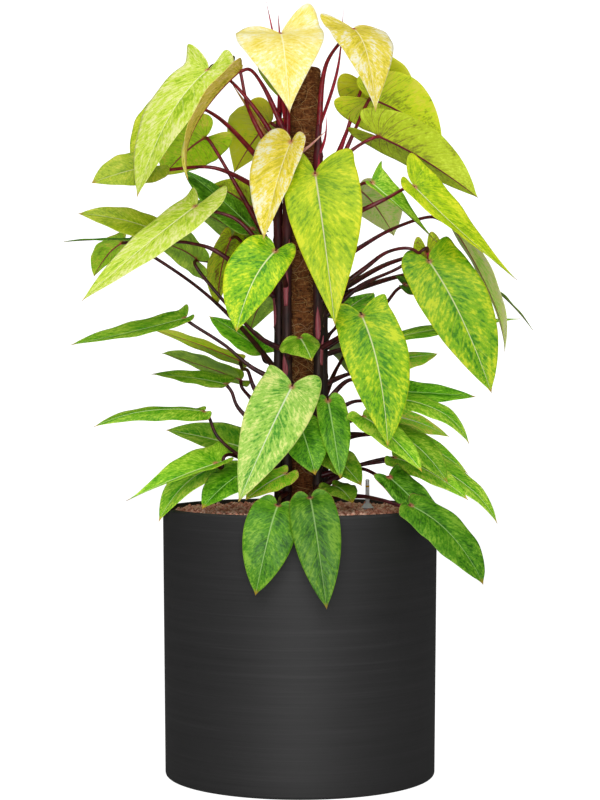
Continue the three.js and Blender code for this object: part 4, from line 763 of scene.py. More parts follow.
def grid_triangles(rows, columns, closed=False):
    """Two triangles for each cell of a grid of points; closed joins the last column to the first."""
    cells = columns if closed else columns - 1
    row, column = np.meshgrid(np.arange(rows - 1), np.arange(cells), indexing="ij")
    here = row * columns + column
    beside = row * columns + (column + 1) % columns
    above = here + columns
    across = beside + columns
    first = np.stack([here, beside, across], -1).reshape(-1, 3)
    second = np.stack([here, across, above], -1).reshape(-1, 3)
    return np.concatenate([first, second])


def welded(shape):
    """The shape with the points at one place made one, and without the triangles that this flattens."""
    places = np.round(shape.points * WELDS_PER_METRE).astype(np.int64)
    _, first, number = np.unique(places, axis=0, return_index=True, return_inverse=True)
    triangles = number.reshape(-1)[shape.triangles]
    a, b, c = triangles.T
    kept = (a != b) & (b != c) & (c != a)
    values = {name: value[first] for name, value in shape.values.items()}
    return Shape(shape.points[first], triangles[kept], shape.material[kept], **values)


def joined(shapes):
    """Several shapes as one: each triangle's numbers are moved on by the points that come before."""
    counts = [len(shape.points) for shape in shapes]
    starts = np.cumsum([0] + counts[:-1])
    points = np.concatenate([shape.points for shape in shapes])
    triangles = np.concatenate([shape.triangles + start for shape, start in zip(shapes, starts)])
    material = np.concatenate([shape.material for shape in shapes])
    values = {name: np.concatenate([shape.values[name] for shape in shapes]) for name in shapes[0].values}
    return Shape(points, triangles, material, **values)


def piece(name, shape, materials, smooth=True):
    """Makes a shape one object of the plant that rides on the only body."""
    mesh = bpy.data.meshes.new(name)
    count = len(shape.triangles)
    mesh.vertices.add(len(shape.points))
    mesh.vertices.foreach_set("co", shape.points.ravel())
    mesh.loops.add(count * 3)
    mesh.loops.foreach_set("vertex_index", shape.triangles.ravel())
    mesh.polygons.add(count)
    mesh.polygons.foreach_set("loop_start", np.arange(0, count * 3, 3))
    mesh.polygons.foreach_set("material_index", shape.material)
    mesh.polygons.foreach_set("use_smooth", np.full(count, smooth))
    for value_name, value in shape.values.items():
        kind = "FLOAT_VECTOR" if value.ndim == 2 else "FLOAT"
        attribute = mesh.attributes.new(value_name, kind, "POINT")
        attribute.data.foreach_set("vector" if value.ndim == 2 else "value", value.ravel())
    for material in materials:
        mesh.materials.append(material)
    mesh.update(calc_edges=True)
    made = bpy.data.objects.new(name, mesh)
    bpy.context.scene.collection.objects.link(made)
    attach(made, "root")
    return made


def turned(profile, sides, x=0.0, y=0.0):
    """A body turned round an upright axis: each row of (radius, height) becomes a ring of points."""
    profile = np.array(profile, float)
    angle = 2 * np.pi * np.arange(sides) / sides
    ring_x = x + profile[:, :1] * np.cos(angle)
    ring_y = y + profile[:, :1] * np.sin(angle)
    height = np.broadcast_to(profile[:, 1:], ring_x.shape)
    points = np.stack([ring_x, ring_y, height], -1)
    return welded(Shape(points, grid_triangles(len(profile), sides, closed=True)))


def smooth_way(points, steps):
    """A centripetal curve through the points, with the given number of steps from each to the next."""
    points = np.array(points, float)
    first = 2 * points[0] - points[1]
    last = 2 * points[-1] - points[-2]
    points = np.concatenate([[first], points, [last]])
    before, here, after, beyond = points[:-3], points[1:-2], points[2:-1], points[3:]
    spans = ((before, here), (here, after), (after, beyond))
    pace = [np.sqrt(np.linalg.norm(b - a, axis=1))[:, None] for a, b in spans]
    leaving = (here - before) / pace[0] - (after - before) / (pace[0] + pace[1]) + (after - here) / pace[1]
    coming = (after - here) / pace[1] - (beyond - here) / (pace[1] + pace[2]) + (beyond - after) / pace[2]
    leaving, coming = leaving * pace[1], coming * pace[1]
    t = (np.arange(steps) / steps)[None, :, None]
    here, after, leaving, coming = here[:, None], after[:, None], leaving[:, None], coming[:, None]
    bend = (2 * here - 2 * after + leaving + coming) * t ** 3
    curve = here + leaving * t + (3 * after - 3 * here - 2 * leaving - coming) * t ** 2 + bend
    return np.concatenate([curve.reshape(-1, 3), points[-2:-1]])


def tube(way, radii, sides, material=0, flat=1.0):
    """A tube, closed at its ends: way + radius * (cos angle * across + flat * sin angle * over)."""
    radii = np.broadcast_to(radii, len(way))
    tangent = unit(np.gradient(way, axis=0))
    chord = way[-1] - way[0]
    side = np.cross(chord, UP)
    if np.linalg.norm(side) < STEEP * np.linalg.norm(chord):
        side = np.array([1.0, 0.0, 0.0])
    across = unit(side - (tangent @ side)[:, None] * tangent)
    over = np.cross(tangent, across)
    angle = 2 * np.pi * np.arange(sides) / sides
    ring = np.cos(angle)[:, None] * across[:, None] + flat * np.sin(angle)[:, None] * over[:, None]
    points = way[:, None] + radii[:, None, None] * ring
    ends = [np.repeat(way[i][None, None], sides, axis=1) for i in (0, -1)]
    points = np.concatenate([ends[0], points, ends[1]])
    return welded(Shape(points, grid_triangles(len(points), sides, closed=True), material))


def rounded(value, low, high):
    """0 below low, 1 above high, and a smooth step between them."""
    share = np.clip((value - low) / (high - low), 0, 1)
    return share * share * (3 - 2 * share)


# Where things are

def place(point):
    """A point seen from the front at the given distance across and height, moved to its depth."""
    across, depth, up = point
    spread = (EYE_DISTANCE + depth) / EYE_DISTANCE
    return np.array([across * spread, depth, EYE_HEIGHT + (up - EYE_HEIGHT) * spread])


def stem_point(stem, height):
    """Points on a stem's axis at the given heights, swaying a little round the pole."""
    height = np.asarray(height, float)
    angle = math.radians(stem["angle"])
    reach = STEM_REACH + STEM_SWAY * np.sin(height / STEM_SWAY_STRETCH + stem["phase"])
    return np.stack([POLE_X + reach * math.sin(angle), -reach * math.cos(angle), height], -1)


def leaf_frame(leaf):
    """A leaf's hinge, length, and the directions along it, up from its face and to its left."""
    hinge = place(leaf["hinge"])
    along = place(leaf["tip"]) - hinge
    length = np.linalg.norm(along)
    along = along / length
    up = np.array(leaf["face"], float)
    up = unit(up - up.dot(along) * along)
    return hinge, length, along, up, np.cross(along, up)


# Leaves

def along_table(table, k):
    """A smooth curve through the rows of a table, at row numbers k."""
    row = np.clip(np.floor(k).astype(int), 0, len(table) - 2)
    part = (k - row)[:, None]
    before, here = table[np.maximum(row - 1, 0)], table[row]
    after, beyond = table[row + 1], table[np.minimum(row + 2, len(table) - 1)]
    bend = 2 * before - 5 * here + 4 * after - beyond
    twist = 3 * here - before - 3 * after + beyond
    return 0.5 * (2 * here + (after - before) * part + bend * part ** 2 + twist * part ** 3)


def blade_half(leaf, half, k, share):
    """One half of a leaf's middle surface, for places k round the outline and shares from rib to margin.

    The rib is an arch from hinge to tip: bow and sweep times 1 - off ** 2, where off goes from 0 at the peak
    to 1 at hinge and tip. A point lies a share of the way from its vein's root on the rib to the margin, on
    a half that is folded up, droops, lifts at the lobe and waves at the margin.
    """
    hinge, length, along, up, left = leaf_frame(leaf)
    side = 1 if half == 0 else -1
    width, lobe = leaf["wide"][half], leaf["lobes"][half]
    shape = along_table(GROWN * leaf["grown"] + YOUNG * (1 - leaf["grown"]), k)
    back, forth, reach, root = shape.T
    margin_width = (np.maximum(reach, 0) + leaf["splay"][half] * back ** 2) * width
    margin_along = back * lobe + forth * length
    a = root[:, None] * length + (margin_along - root * length)[:, None] * share
    b = margin_width[:, None] * share

    # The rib's arch and its slope here
    t = np.clip(a / length, 0, 1)
    rising = t < leaf["peak"]
    stretch = np.where(rising, leaf["peak"], 1 - leaf["peak"])
    off = np.abs(t - leaf["peak"]) / stretch
    hump = (1 - off ** 2)[..., None]
    slope = (np.where(rising, 2, -2) * off / stretch / length)[..., None]
    arch = leaf["bow"] * up + leaf["sweep"] * left
    spine = hinge + along * (t * length)[..., None] + arch * hump
    tangent = unit(along + arch * slope)
    normal = unit(up - (tangent @ up)[..., None] * tangent)
    sideways = np.cross(tangent, normal)
    turn = np.radians(leaf["twist"] * t)[..., None]
    normal, sideways = (
        normal * np.cos(turn) + sideways * np.sin(turn),
        sideways * np.cos(turn) - normal * np.sin(turn),
    )

    behind = np.minimum(a, 0)
    outward = b / width
    fold = math.radians(leaf["fold"])
    ripple = np.sin(2 * np.pi * leaf["waves"] * a / length + half * RIGHT_HALF_RIPPLE)
    rise = b * math.sin(fold) - leaf["cup"] * outward ** 2 + leaf["wave"] * ripple * outward ** 2
    rise = rise + leaf["lift"][half] * (behind / lobe) ** 2
    points = spine + tangent * behind[..., None]
    points = points + sideways * (side * b * math.cos(fold))[..., None] + normal * rise[..., None]
    return points, a, b, t


def blade(leaf, seed):
    """A leaf as a closed thin body: the middle surface set off to both sides, with a rib that stands out.

    The rib's profile is exp(-(distance / rib width) ** 2): a ridge below and a shallow groove above, both
    falling towards the tip.
    """
    last = len(GROWN) - 1
    k = np.linspace(0, last, BLADE_STATIONS)
    share = np.array(BLADE_SHARES)
    left = blade_half(leaf, 0, k, share)
    right = blade_half(leaf, 1, k, np.concatenate([[0], share]))
    points, a, b, t = [
        np.concatenate([one[:, ::-1], other], axis=1) for one, other in zip(left, right)
    ]
    rows, columns = b.shape
    outward = np.concatenate([-share[::-1], [0], share])
    outward = np.broadcast_to(outward, b.shape).copy()
    outward[[0, -1]] = 0
    station = np.broadcast_to((k / last)[:, None], b.shape)
    rib_width = RIB_WIDTH * (1.1 - RIB_NARROWS * t)
    middle = welded(Shape(
        points, grid_triangles(rows, columns)[:, ::-1],
        veins=np.stack([station, outward, np.full(b.shape, seed)], -1).reshape(-1, 3),
        rib=np.minimum(b / rib_width, RIB_FAR).ravel(),
        start=a.ravel(), along=t.ravel(),
        ends=np.stack([
            np.linalg.norm(points - place(leaf["hinge"]), axis=-1),
            np.linalg.norm(points - place(leaf["tip"]), axis=-1),
            np.zeros(b.shape),
        ], -1).reshape(-1, 3),
    ))

    # Normals of the middle surface, from the triangles round each point
    corners = middle.points[middle.triangles]
    facing = np.cross(corners[:, 1] - corners[:, 0], corners[:, 2] - corners[:, 0])
    normals = np.zeros_like(middle.points)
    for corner in range(3):
        np.add.at(normals, middle.triangles[:, corner], facing)
    normals = unit(normals)

    rib = middle.values["rib"]
    ridge = np.exp(-rib ** 2) * (1 - RIB_LOWERS * middle.values["along"])
    ridge = ridge * np.clip(1 + middle.values["start"] / RIB_START, 0, 1)
    edge = np.abs(middle.values["veins"][:, 1]) ** 4
    half = BLADE_HALF_THICKNESS * (1 - BLADE_EDGE_TAPER * edge)
    over = middle.points + normals * (half - RIB_GROOVE * RIB_HEIGHT * ridge)[:, None]
    under = middle.points - normals * (half + RIB_HEIGHT * ridge)[:, None]

    # The rim joins the sides along the edges that belong to one triangle only
    edges = np.concatenate([middle.triangles[:, pair] for pair in ([0, 1], [1, 2], [2, 0])])
    count = len(middle.points)
    key = edges[:, 0] * count + edges[:, 1]
    back = edges[:, 1] * count + edges[:, 0]
    lone = edges[~np.isin(key, back)]
    rim = np.concatenate([
        np.stack([lone[:, 1], lone[:, 0], lone[:, 0] + count], -1),
        np.stack([lone[:, 1], lone[:, 0] + count, lone[:, 1] + count], -1),
    ])
    triangles = np.concatenate([middle.triangles, middle.triangles[:, ::-1] + count, rim])
    both = {name: np.concatenate([middle.values[name]] * 2) for name in ("veins", "rib", "ends")}
    top = np.concatenate([np.ones(count), np.zeros(count)])
    # Painted light and shade: only the side that faces the front is lightened or darkened in full by the
    # leaf's light
    side_painted_lights = [leaf["light"], min(leaf["light"], FAR_SIDE_PAINTED_LIGHT)]
    if leaf_frame(leaf)[3][1] > 0:
        side_painted_lights.reverse()
    light = np.repeat(side_painted_lights, count)
    return Shape(np.concatenate([over, under]), triangles, top=top, light=light, **both)


def stalk_way(leaf):
    """The way of a leaf's stalk from inside the stem, up through its points, to the blade's hinge."""
    hinge, _, along, up, _ = leaf_frame(leaf)
    start = stem_point(STEMS[leaf["stem"]], leaf["root"])
    bend = hinge - along * NECK_BACK - up * NECK_DROP
    via = [place(point) for point in leaf["via"]]
    if not via:
        rise = np.linalg.norm(bend - start) * STALK_ARCH
        via = [(start + bend) / 2 + UP * rise]
    return smooth_way([start, *via, bend, hinge - up * BLADE_HALF_THICKNESS], STALK_STEPS)


def stalk(leaf):
    """A leaf's stalk: thick where it leaves the stem, slim on its way, and a little thicker at the neck."""
    way = stalk_way(leaf)
    share = np.linspace(0, 1, len(way))
    radii = STALK_RADIUS + (STALK_BASE_RADIUS - STALK_RADIUS) * (1 - rounded(share, *STALK_BASE))
    radii = radii + (STALK_NECK_RADIUS - STALK_RADIUS) * rounded(share, *STALK_NECK)
    radii = radii * (1 - STALK_END_TAPER * rounded(share, *STALK_END))
    return tube(way, radii, STALK_SIDES, STEM_FINISHES.index("leaf_stalk"))


# Stems, sheaths, husks and roots

def stem_bark(stem):
    """A stem: a tube that swells at its nodes and narrows to a growing tip."""
    height = np.arange(STEM_FOOT, stem["top"], STEM_NODE_SPACING / STEM_RINGS_PER_NODE)
    phase = (height / STEM_NODE_SPACING + stem["phase"]) % 1
    swell = np.exp(-((phase - 0.5) / NODE_WIDTH) ** 2)
    taper = 1 - STEM_TIP_TAPER * rounded(height, stem["top"] - STEM_TIP_LENGTH, stem["top"])
    radii = STEM_RADIUS * (BETWEEN_NODES + NODE_SWELL * swell) * taper
    return tube(stem_point(stem, height), radii, STEM_SIDES)


def sheath(stem, start, radius, points, finish):
    """A leaf sheath: a slim flat spindle that rises from the stem and runs out in a long point.

    Its radius is a bulge near the foot, 0.75 to 1 of the greatest, times 1 - share ** 2.4.
    """
    middle, tip = [place(point) for point in points]
    way = smooth_way([stem_point(stem, start), middle, tip], 14)
    share = np.linspace(0, 1, len(way))
    radii = radius * (1 - share ** 2.4) * (0.75 + 0.25 * np.sin(np.pi * np.minimum(share * 1.6, 1)))
    return tube(way, np.maximum(radii, 0.0002), STALK_SIDES, STEM_FINISHES.index(finish), flat=0.7)


def husk(stem, foot, length, width, turn):
    """An old sheath: a pointed strip, bent round the stem, standing off more towards its tip."""
    rows, columns = HUSK_ROWS, HUSK_COLUMNS
    up_share = np.linspace(0, 1, rows)[:, None]
    across = np.linspace(-1, 1, columns)[None, :]
    half_width = width / 2 * np.sin(np.pi * (0.12 + 0.88 * up_share) ** 0.8)
    stand = STEM_RADIUS + HUSK_GAP + HUSK_STAND * up_share ** 2
    angle = math.radians(stem["angle"] + turn) + across * half_width / stand
    axis = stem_point(stem, foot + length * up_share[:, 0])
    stand = stand * (1 - HUSK_FLATTER * across ** 2)
    points = np.stack([
        axis[:, :1] + stand * np.sin(angle),
        axis[:, 1:2] - stand * np.cos(angle),
        np.broadcast_to(axis[:, 2:], angle.shape),
    ], -1)
    inside = points - HUSK_THICKNESS * np.stack([np.sin(angle), -np.cos(angle), np.zeros_like(angle)], -1)
    outer = Shape(points, grid_triangles(rows, columns))
    inner = Shape(inside, grid_triangles(rows, columns)[:, ::-1])
    loop = np.concatenate([
        np.arange(columns), np.arange(1, rows) * columns + columns - 1,
        (rows - 1) * columns + np.arange(columns - 2, -1, -1), np.arange(rows - 2, 0, -1) * columns,
    ])
    following = np.roll(loop, -1)
    count = rows * columns
    rim = np.concatenate([
        np.stack([following, loop, loop + count], -1),
        np.stack([following, loop + count, following + count], -1),
    ])
    body = joined([outer, inner])
    return Shape(body.points, np.concatenate([body.triangles, rim]), STEM_FINISHES.index("young_sheath"))


def foot_root(stem, number):
    """A root at a stem's foot, spreading away from the pole down into the granulate."""
    angle = math.radians(stem["angle"] + ROOT_FAN * (number - (ROOTS_PER_STEM - 1) / 2))
    out = np.array([math.sin(angle), -math.cos(angle), 0.0])
    start = stem_point(stem, STEM_FOOT + ROOT_RISE)
    end = start + out * ROOT_LENGTH - UP * ROOT_FALL
    way = smooth_way([start, (start + end) / 2 + UP * ROOT_ARCH, end], ROOT_STEPS)
    radii = np.linspace(ROOT_RADIUS, ROOT_RADIUS / 2, len(way))
    return tube(way, radii, ROOT_SIDES, STEM_FINISHES.index("root"))


def aerial_roots(name, random):
    """Thin roots that leave a stem and wander round the pole with a few bends."""
    stem = STEMS[name]
    shapes = []
    for _ in range(AERIAL_ROOTS // len(STEMS)):
        height = random.uniform(AERIAL_FROM, stem["top"] - AERIAL_BELOW_TIP)
        turns = np.cumsum(random.uniform(*AERIAL_TURN, AERIAL_BENDS))
        angle = math.radians(stem["angle"]) + turns * random.choice([-1, 1])
        reach = COIR_RADIUS + random.uniform(*AERIAL_LOFT, AERIAL_BENDS)
        rise = np.cumsum(random.uniform(*AERIAL_RISE, AERIAL_BENDS))
        points = np.stack([POLE_X + reach * np.sin(angle), -reach * np.cos(angle), height + rise], -1)
        way = smooth_way([stem_point(stem, height + AERIAL_START_RISE), *points], ROOT_STEPS)
        radii = AERIAL_RADIUS * random.uniform(*AERIAL_THICKNESS) * np.linspace(1.1, 0.5, len(way))
        shapes.append(tube(way, radii, ROOT_SIDES, STEM_FINISHES.index("root")))
    return shapes


# Pole and granulate

def coir_sleeve(random):
    """The coir round the core: a thick tube that draws in at the top. Its radius is the coir's plus a sum
    of sine waves that run round and up in many sizes."""
    sides, rings = COIR_SIDES, COIR_RINGS
    angle = 2 * np.pi * np.arange(sides) / sides
    height = np.linspace(POLE_FOOT, POLE_TOP, rings)[:, None]
    lumps = np.zeros((rings, sides))
    for _ in range(COIR_WAVES):
        around = random.integers(*COIR_WAVES_AROUND)
        up = random.uniform(*COIR_WAVES_UP)
        lumps += np.sin(around * angle + up * height + random.uniform(0, 2 * np.pi)) / COIR_WAVES ** 0.5
    radius = COIR_RADIUS - COIR_LUMP_MIDDLE + COIR_LUMP_HEIGHT * lumps
    radius = radius * (1 - COIR_TOP_TAPER * rounded(height, POLE_TOP - COIR_TOP_EDGE, POLE_TOP))
    outside = np.stack([
        POLE_X + radius * np.cos(angle), radius * np.sin(angle), np.broadcast_to(height, radius.shape)
    ], -1)
    bore_x = POLE_X + CORE_BORE * np.cos(angle)
    bore = np.stack([bore_x, CORE_BORE * np.sin(angle), np.full(sides, POLE_FOOT)], -1)
    bore_top = bore + UP * (POLE_TOP - POLE_FOOT)
    points = np.concatenate([bore[None], outside, bore_top[None], bore[None]])
    return welded(Shape(points, grid_triangles(len(points), sides, closed=True)))


def coir_fibres(random):
    """Loose fibres on the coir, each a thin three-sided tube that wanders round and up on the sleeve."""
    steps, sides, each = FIBRE_POINTS, FIBRE_SIDES, (FIBRES, 1)
    share = np.linspace(0, 1, steps)[None, :]
    angle = random.uniform(0, 2 * np.pi, each) + share * random.normal(0, FIBRE_RUN_AROUND, each)
    angle = angle + FIBRE_BEND * np.sin(share * random.uniform(*FIBRE_BENDS, each))
    height = random.uniform(FILL_TOP - 0.02, POLE_TOP - 0.03, each)
    height = height + share * random.normal(0, FIBRE_RUN_UP, each)
    height = np.clip(height, FILL_TOP - 0.03, POLE_TOP)
    loft = random.uniform(*FIBRE_LOFT, each) * np.sin(np.pi * share) + FIBRE_GAP
    reach = COIR_RADIUS + loft
    way = np.stack([POLE_X + reach * np.sin(angle), -reach * np.cos(angle), height], -1)
    tangent = unit(np.gradient(way, axis=1))
    out = np.stack([np.sin(angle), -np.cos(angle), np.zeros_like(angle)], -1)
    over = unit(np.cross(tangent, out))
    turn = 2 * np.pi * np.arange(sides) / sides
    radius = FIBRE_RADIUS * random.uniform(*FIBRE_RADIUS_SPREAD, (FIBRES, 1, 1, 1))
    ring = np.cos(turn)[:, None] * out[:, :, None] + np.sin(turn)[:, None] * over[:, :, None]
    points = (way[:, :, None] + radius * ring).reshape(FIBRES, -1, 3)
    tube_triangles = grid_triangles(steps, sides, closed=True)
    last = (steps - 1) * sides
    caps = np.array([[0, 2, 1], [last, last + 1, last + 2]])
    tube_triangles = np.concatenate([tube_triangles, caps])
    starts = (np.arange(FIBRES) * steps * sides)[:, None, None]
    triangles = (tube_triangles[None] + starts).reshape(-1, 3)
    tint = np.repeat(random.uniform(0, 1, FIBRES), steps * sides)
    return Shape(points, triangles, tint=tint)


def stones(centres, random):
    """Clay stones: the twenty-sided form at each centre, squeezed, turned and dented by chance."""
    golden = (1 + 5 ** 0.5) / 2
    form = unit(np.array([
        (-1, golden, 0), (1, golden, 0), (-1, -golden, 0), (1, -golden, 0),
        (0, -1, golden), (0, 1, golden), (0, -1, -golden), (0, 1, -golden),
        (golden, 0, -1), (golden, 0, 1), (-golden, 0, -1), (-golden, 0, 1),
    ], float))
    sides = np.array([
        (0, 11, 5), (0, 5, 1), (0, 1, 7), (0, 7, 10), (0, 10, 11), (1, 5, 9), (5, 11, 4), (11, 10, 2),
        (10, 7, 6), (7, 1, 8), (3, 9, 4), (3, 4, 2), (3, 2, 6), (3, 6, 8), (3, 8, 9), (4, 9, 5), (2, 4, 11),
        (6, 2, 10), (8, 6, 7), (9, 8, 1),
    ])
    count = len(centres)
    angle = random.uniform(0, 2 * np.pi, count)
    cos, sin = np.cos(angle), np.sin(angle)
    zero, one = np.zeros(count), np.ones(count)
    turn = np.stack([cos, -sin, zero, sin, cos, zero, zero, zero, one], -1).reshape(count, 3, 3)
    squeeze = random.uniform(*STONE_SQUEEZE, (count, 1, 3))
    dents = random.uniform(*STONE_DENTS, (count, len(form), 1))
    size = STONE_RADIUS * random.uniform(*STONE_SIZES, (count, 1, 1))
    points = np.einsum("nij,nkj->nki", turn, form[None] * dents * squeeze) * size + centres[:, None]
    triangles = (sides[None] + (np.arange(count) * len(form))[:, None, None]).reshape(-1, 3)
    tint = np.repeat(random.uniform(0, 1, count), len(form))
    return Shape(points, triangles, tint=tint)


def stone_centres(random):
    """Places for the stones: a shaken grid over the planter's mouth and some more on top of it, all clear
    of the pole, the stems and the gauge."""
    reach = PLANTER_TOP_RADIUS - PLANTER_WALL - STONE_RADIUS
    line = np.arange(-reach, reach, STONE_SPACING)
    x, y = np.meshgrid(line, line * STONE_ROWS_CLOSER)
    x = x + STONE_SPACING / 2 * (np.arange(len(line)) % 2)[:, None]
    bed = np.stack([x.ravel(), y.ravel(), np.full(x.size, FILL_TOP - STONE_SINK)], -1)
    bed = bed + random.normal(0, 1, bed.shape) * STONE_SHAKE
    spread = reach * np.sqrt(random.uniform(0, 1, STONES_RAISED))
    angle = random.uniform(0, 2 * np.pi, STONES_RAISED)
    height = FILL_TOP + random.uniform(*STONES_RAISED_BY, STONES_RAISED)
    raised = np.stack([spread * np.cos(angle), spread * np.sin(angle), height], -1)
    centres = np.concatenate([bed, raised])
    inside = np.hypot(centres[:, 0], centres[:, 1]) < reach
    from_pole = np.hypot(centres[:, 0] - POLE_X, centres[:, 1])
    from_gauge = np.hypot(centres[:, 0] - GAUGE_X, centres[:, 1] - GAUGE_Y)
    clear = inside & (from_pole > COIR_RADIUS) & (from_gauge > GAUGE_SHAFT_RADIUS)
    for stem in STEMS.values():
        axis = stem_point(stem, FILL_TOP)
        clear &= np.hypot(centres[:, 0] - axis[0], centres[:, 1] - axis[1]) > STEM_RADIUS
    return centres[clear]


# Planter and water gauge

def edge_arc(radius, height, start, end):
    """A quarter turn of the planter's rounded edge as points of radius and height."""
    angle = np.radians(np.linspace(start, end, PLANTER_EDGE_POINTS))
    return [(radius + PLANTER_EDGE * math.cos(a), height + PLANTER_EDGE * math.sin(a)) for a in angle]


def planter():
    """The round planter with rounded edges, its outside divided into rings."""
    inner_top = PLANTER_TOP_RADIUS - PLANTER_WALL
    inner_foot = PLANTER_FOOT_RADIUS - PLANTER_WALL
    low, high = PLANTER_EDGE, PLANTER_HEIGHT - PLANTER_EDGE
    share = np.linspace(0, 1, PLANTER_WALL_STEPS + 1)[1:-1]
    widens = PLANTER_TOP_RADIUS - PLANTER_FOOT_RADIUS
    wall = [(PLANTER_FOOT_RADIUS + s * widens, low + s * (high - low)) for s in share]
    profile = [(0, 0)]
    profile += edge_arc(PLANTER_FOOT_RADIUS - PLANTER_EDGE, low, -90, 0)
    profile += wall
    profile += edge_arc(PLANTER_TOP_RADIUS - PLANTER_EDGE, high, 0, 90)
    profile += edge_arc(inner_top + PLANTER_EDGE, high, 90, 180)
    profile += [(inner_foot, PLANTER_FLOOR), (0, PLANTER_FLOOR)]
    return turned(profile, PLANTER_SIDES)


def gauge_shaft():
    """The gauge's grey shaft and its collar on the granulate, which narrows upwards in a hollow curve."""
    rise = GAUGE_COLLAR_TOP - GAUGE_COLLAR_FOOT - GAUGE_COLLAR_DEPTH
    flare = GAUGE_COLLAR_RADIUS - GAUGE_SHAFT_RADIUS
    bell_foot = GAUGE_COLLAR_FOOT + GAUGE_COLLAR_DEPTH
    bell = [(GAUGE_SHAFT_RADIUS + flare * (1 - share) ** 2, bell_foot + share * rise)
            for share in np.linspace(0, 0.8, 7)]
    neck = GAUGE_TUBE_RADIUS + GAUGE_TUBE_GAP
    profile = [
        (GAUGE_BORE_RADIUS, GAUGE_FOOT),
        (GAUGE_SHAFT_RADIUS, GAUGE_FOOT),
        (GAUGE_SHAFT_RADIUS, GAUGE_COLLAR_FOOT),
        (GAUGE_COLLAR_RADIUS, GAUGE_COLLAR_FOOT + GAUGE_COLLAR_EDGE),
        *bell,
        (neck + GAUGE_LIP_WIDTH, GAUGE_COLLAR_TOP + GAUGE_LIP_HEIGHT),
        (neck, GAUGE_COLLAR_TOP + GAUGE_LIP_HEIGHT),
        (neck, GAUGE_COLLAR_FOOT - GAUGE_COLLAR_DEPTH),
        (GAUGE_BORE_RADIUS, GAUGE_COLLAR_FOOT - 2 * GAUGE_COLLAR_DEPTH),
        (GAUGE_BORE_RADIUS, GAUGE_FOOT),
    ]
    return turned(profile, 40, GAUGE_X, GAUGE_Y)


def gauge_tube():
    """The gauge's clear tube with a closed top and a rounded edge."""
    foot = GAUGE_COLLAR_FOOT - GAUGE_COLLAR_DEPTH
    edge = GAUGE_TOP_EDGE
    dome = [(GAUGE_TUBE_RADIUS - edge + edge * math.cos(a), GAUGE_TOP - edge + edge * math.sin(a))
            for a in np.radians(np.linspace(0, 90, 5))]
    profile = [
        (GAUGE_TUBE_BORE, foot),
        (GAUGE_TUBE_RADIUS, foot),
        *dome,
        (0, GAUGE_TOP),
        (0, GAUGE_TOP - GAUGE_TOP_THICKNESS),
        (GAUGE_TUBE_BORE, GAUGE_TOP - GAUGE_TOP_THICKNESS),
        (GAUGE_TUBE_BORE, foot),
    ]
    return turned(profile, 32, GAUGE_X, GAUGE_Y)


def gauge_float():
    """The float in the shaft, its thin rod and the red mark in the clear tube."""
    foot = GAUGE_FOOT + FLOAT_ABOVE_FOOT
    profile = [
        (0, foot),
        (FLOAT_RADIUS, foot + FLOAT_EDGE),
        (FLOAT_RADIUS, foot + FLOAT_LENGTH - FLOAT_EDGE),
        (FLOAT_ROD_RADIUS, foot + FLOAT_LENGTH),
        (FLOAT_ROD_RADIUS, GAUGE_COLLAR_TOP),
        (FLOAT_MARK_RADIUS, GAUGE_COLLAR_TOP + FLOAT_MARK_EDGE),
        (FLOAT_MARK_RADIUS, GAUGE_COLLAR_TOP + FLOAT_MARK_LENGTH - FLOAT_MARK_EDGE),
        (0, GAUGE_COLLAR_TOP + FLOAT_MARK_LENGTH),
    ]
    return turned(profile, 24, GAUGE_X, GAUGE_Y)


# Materials

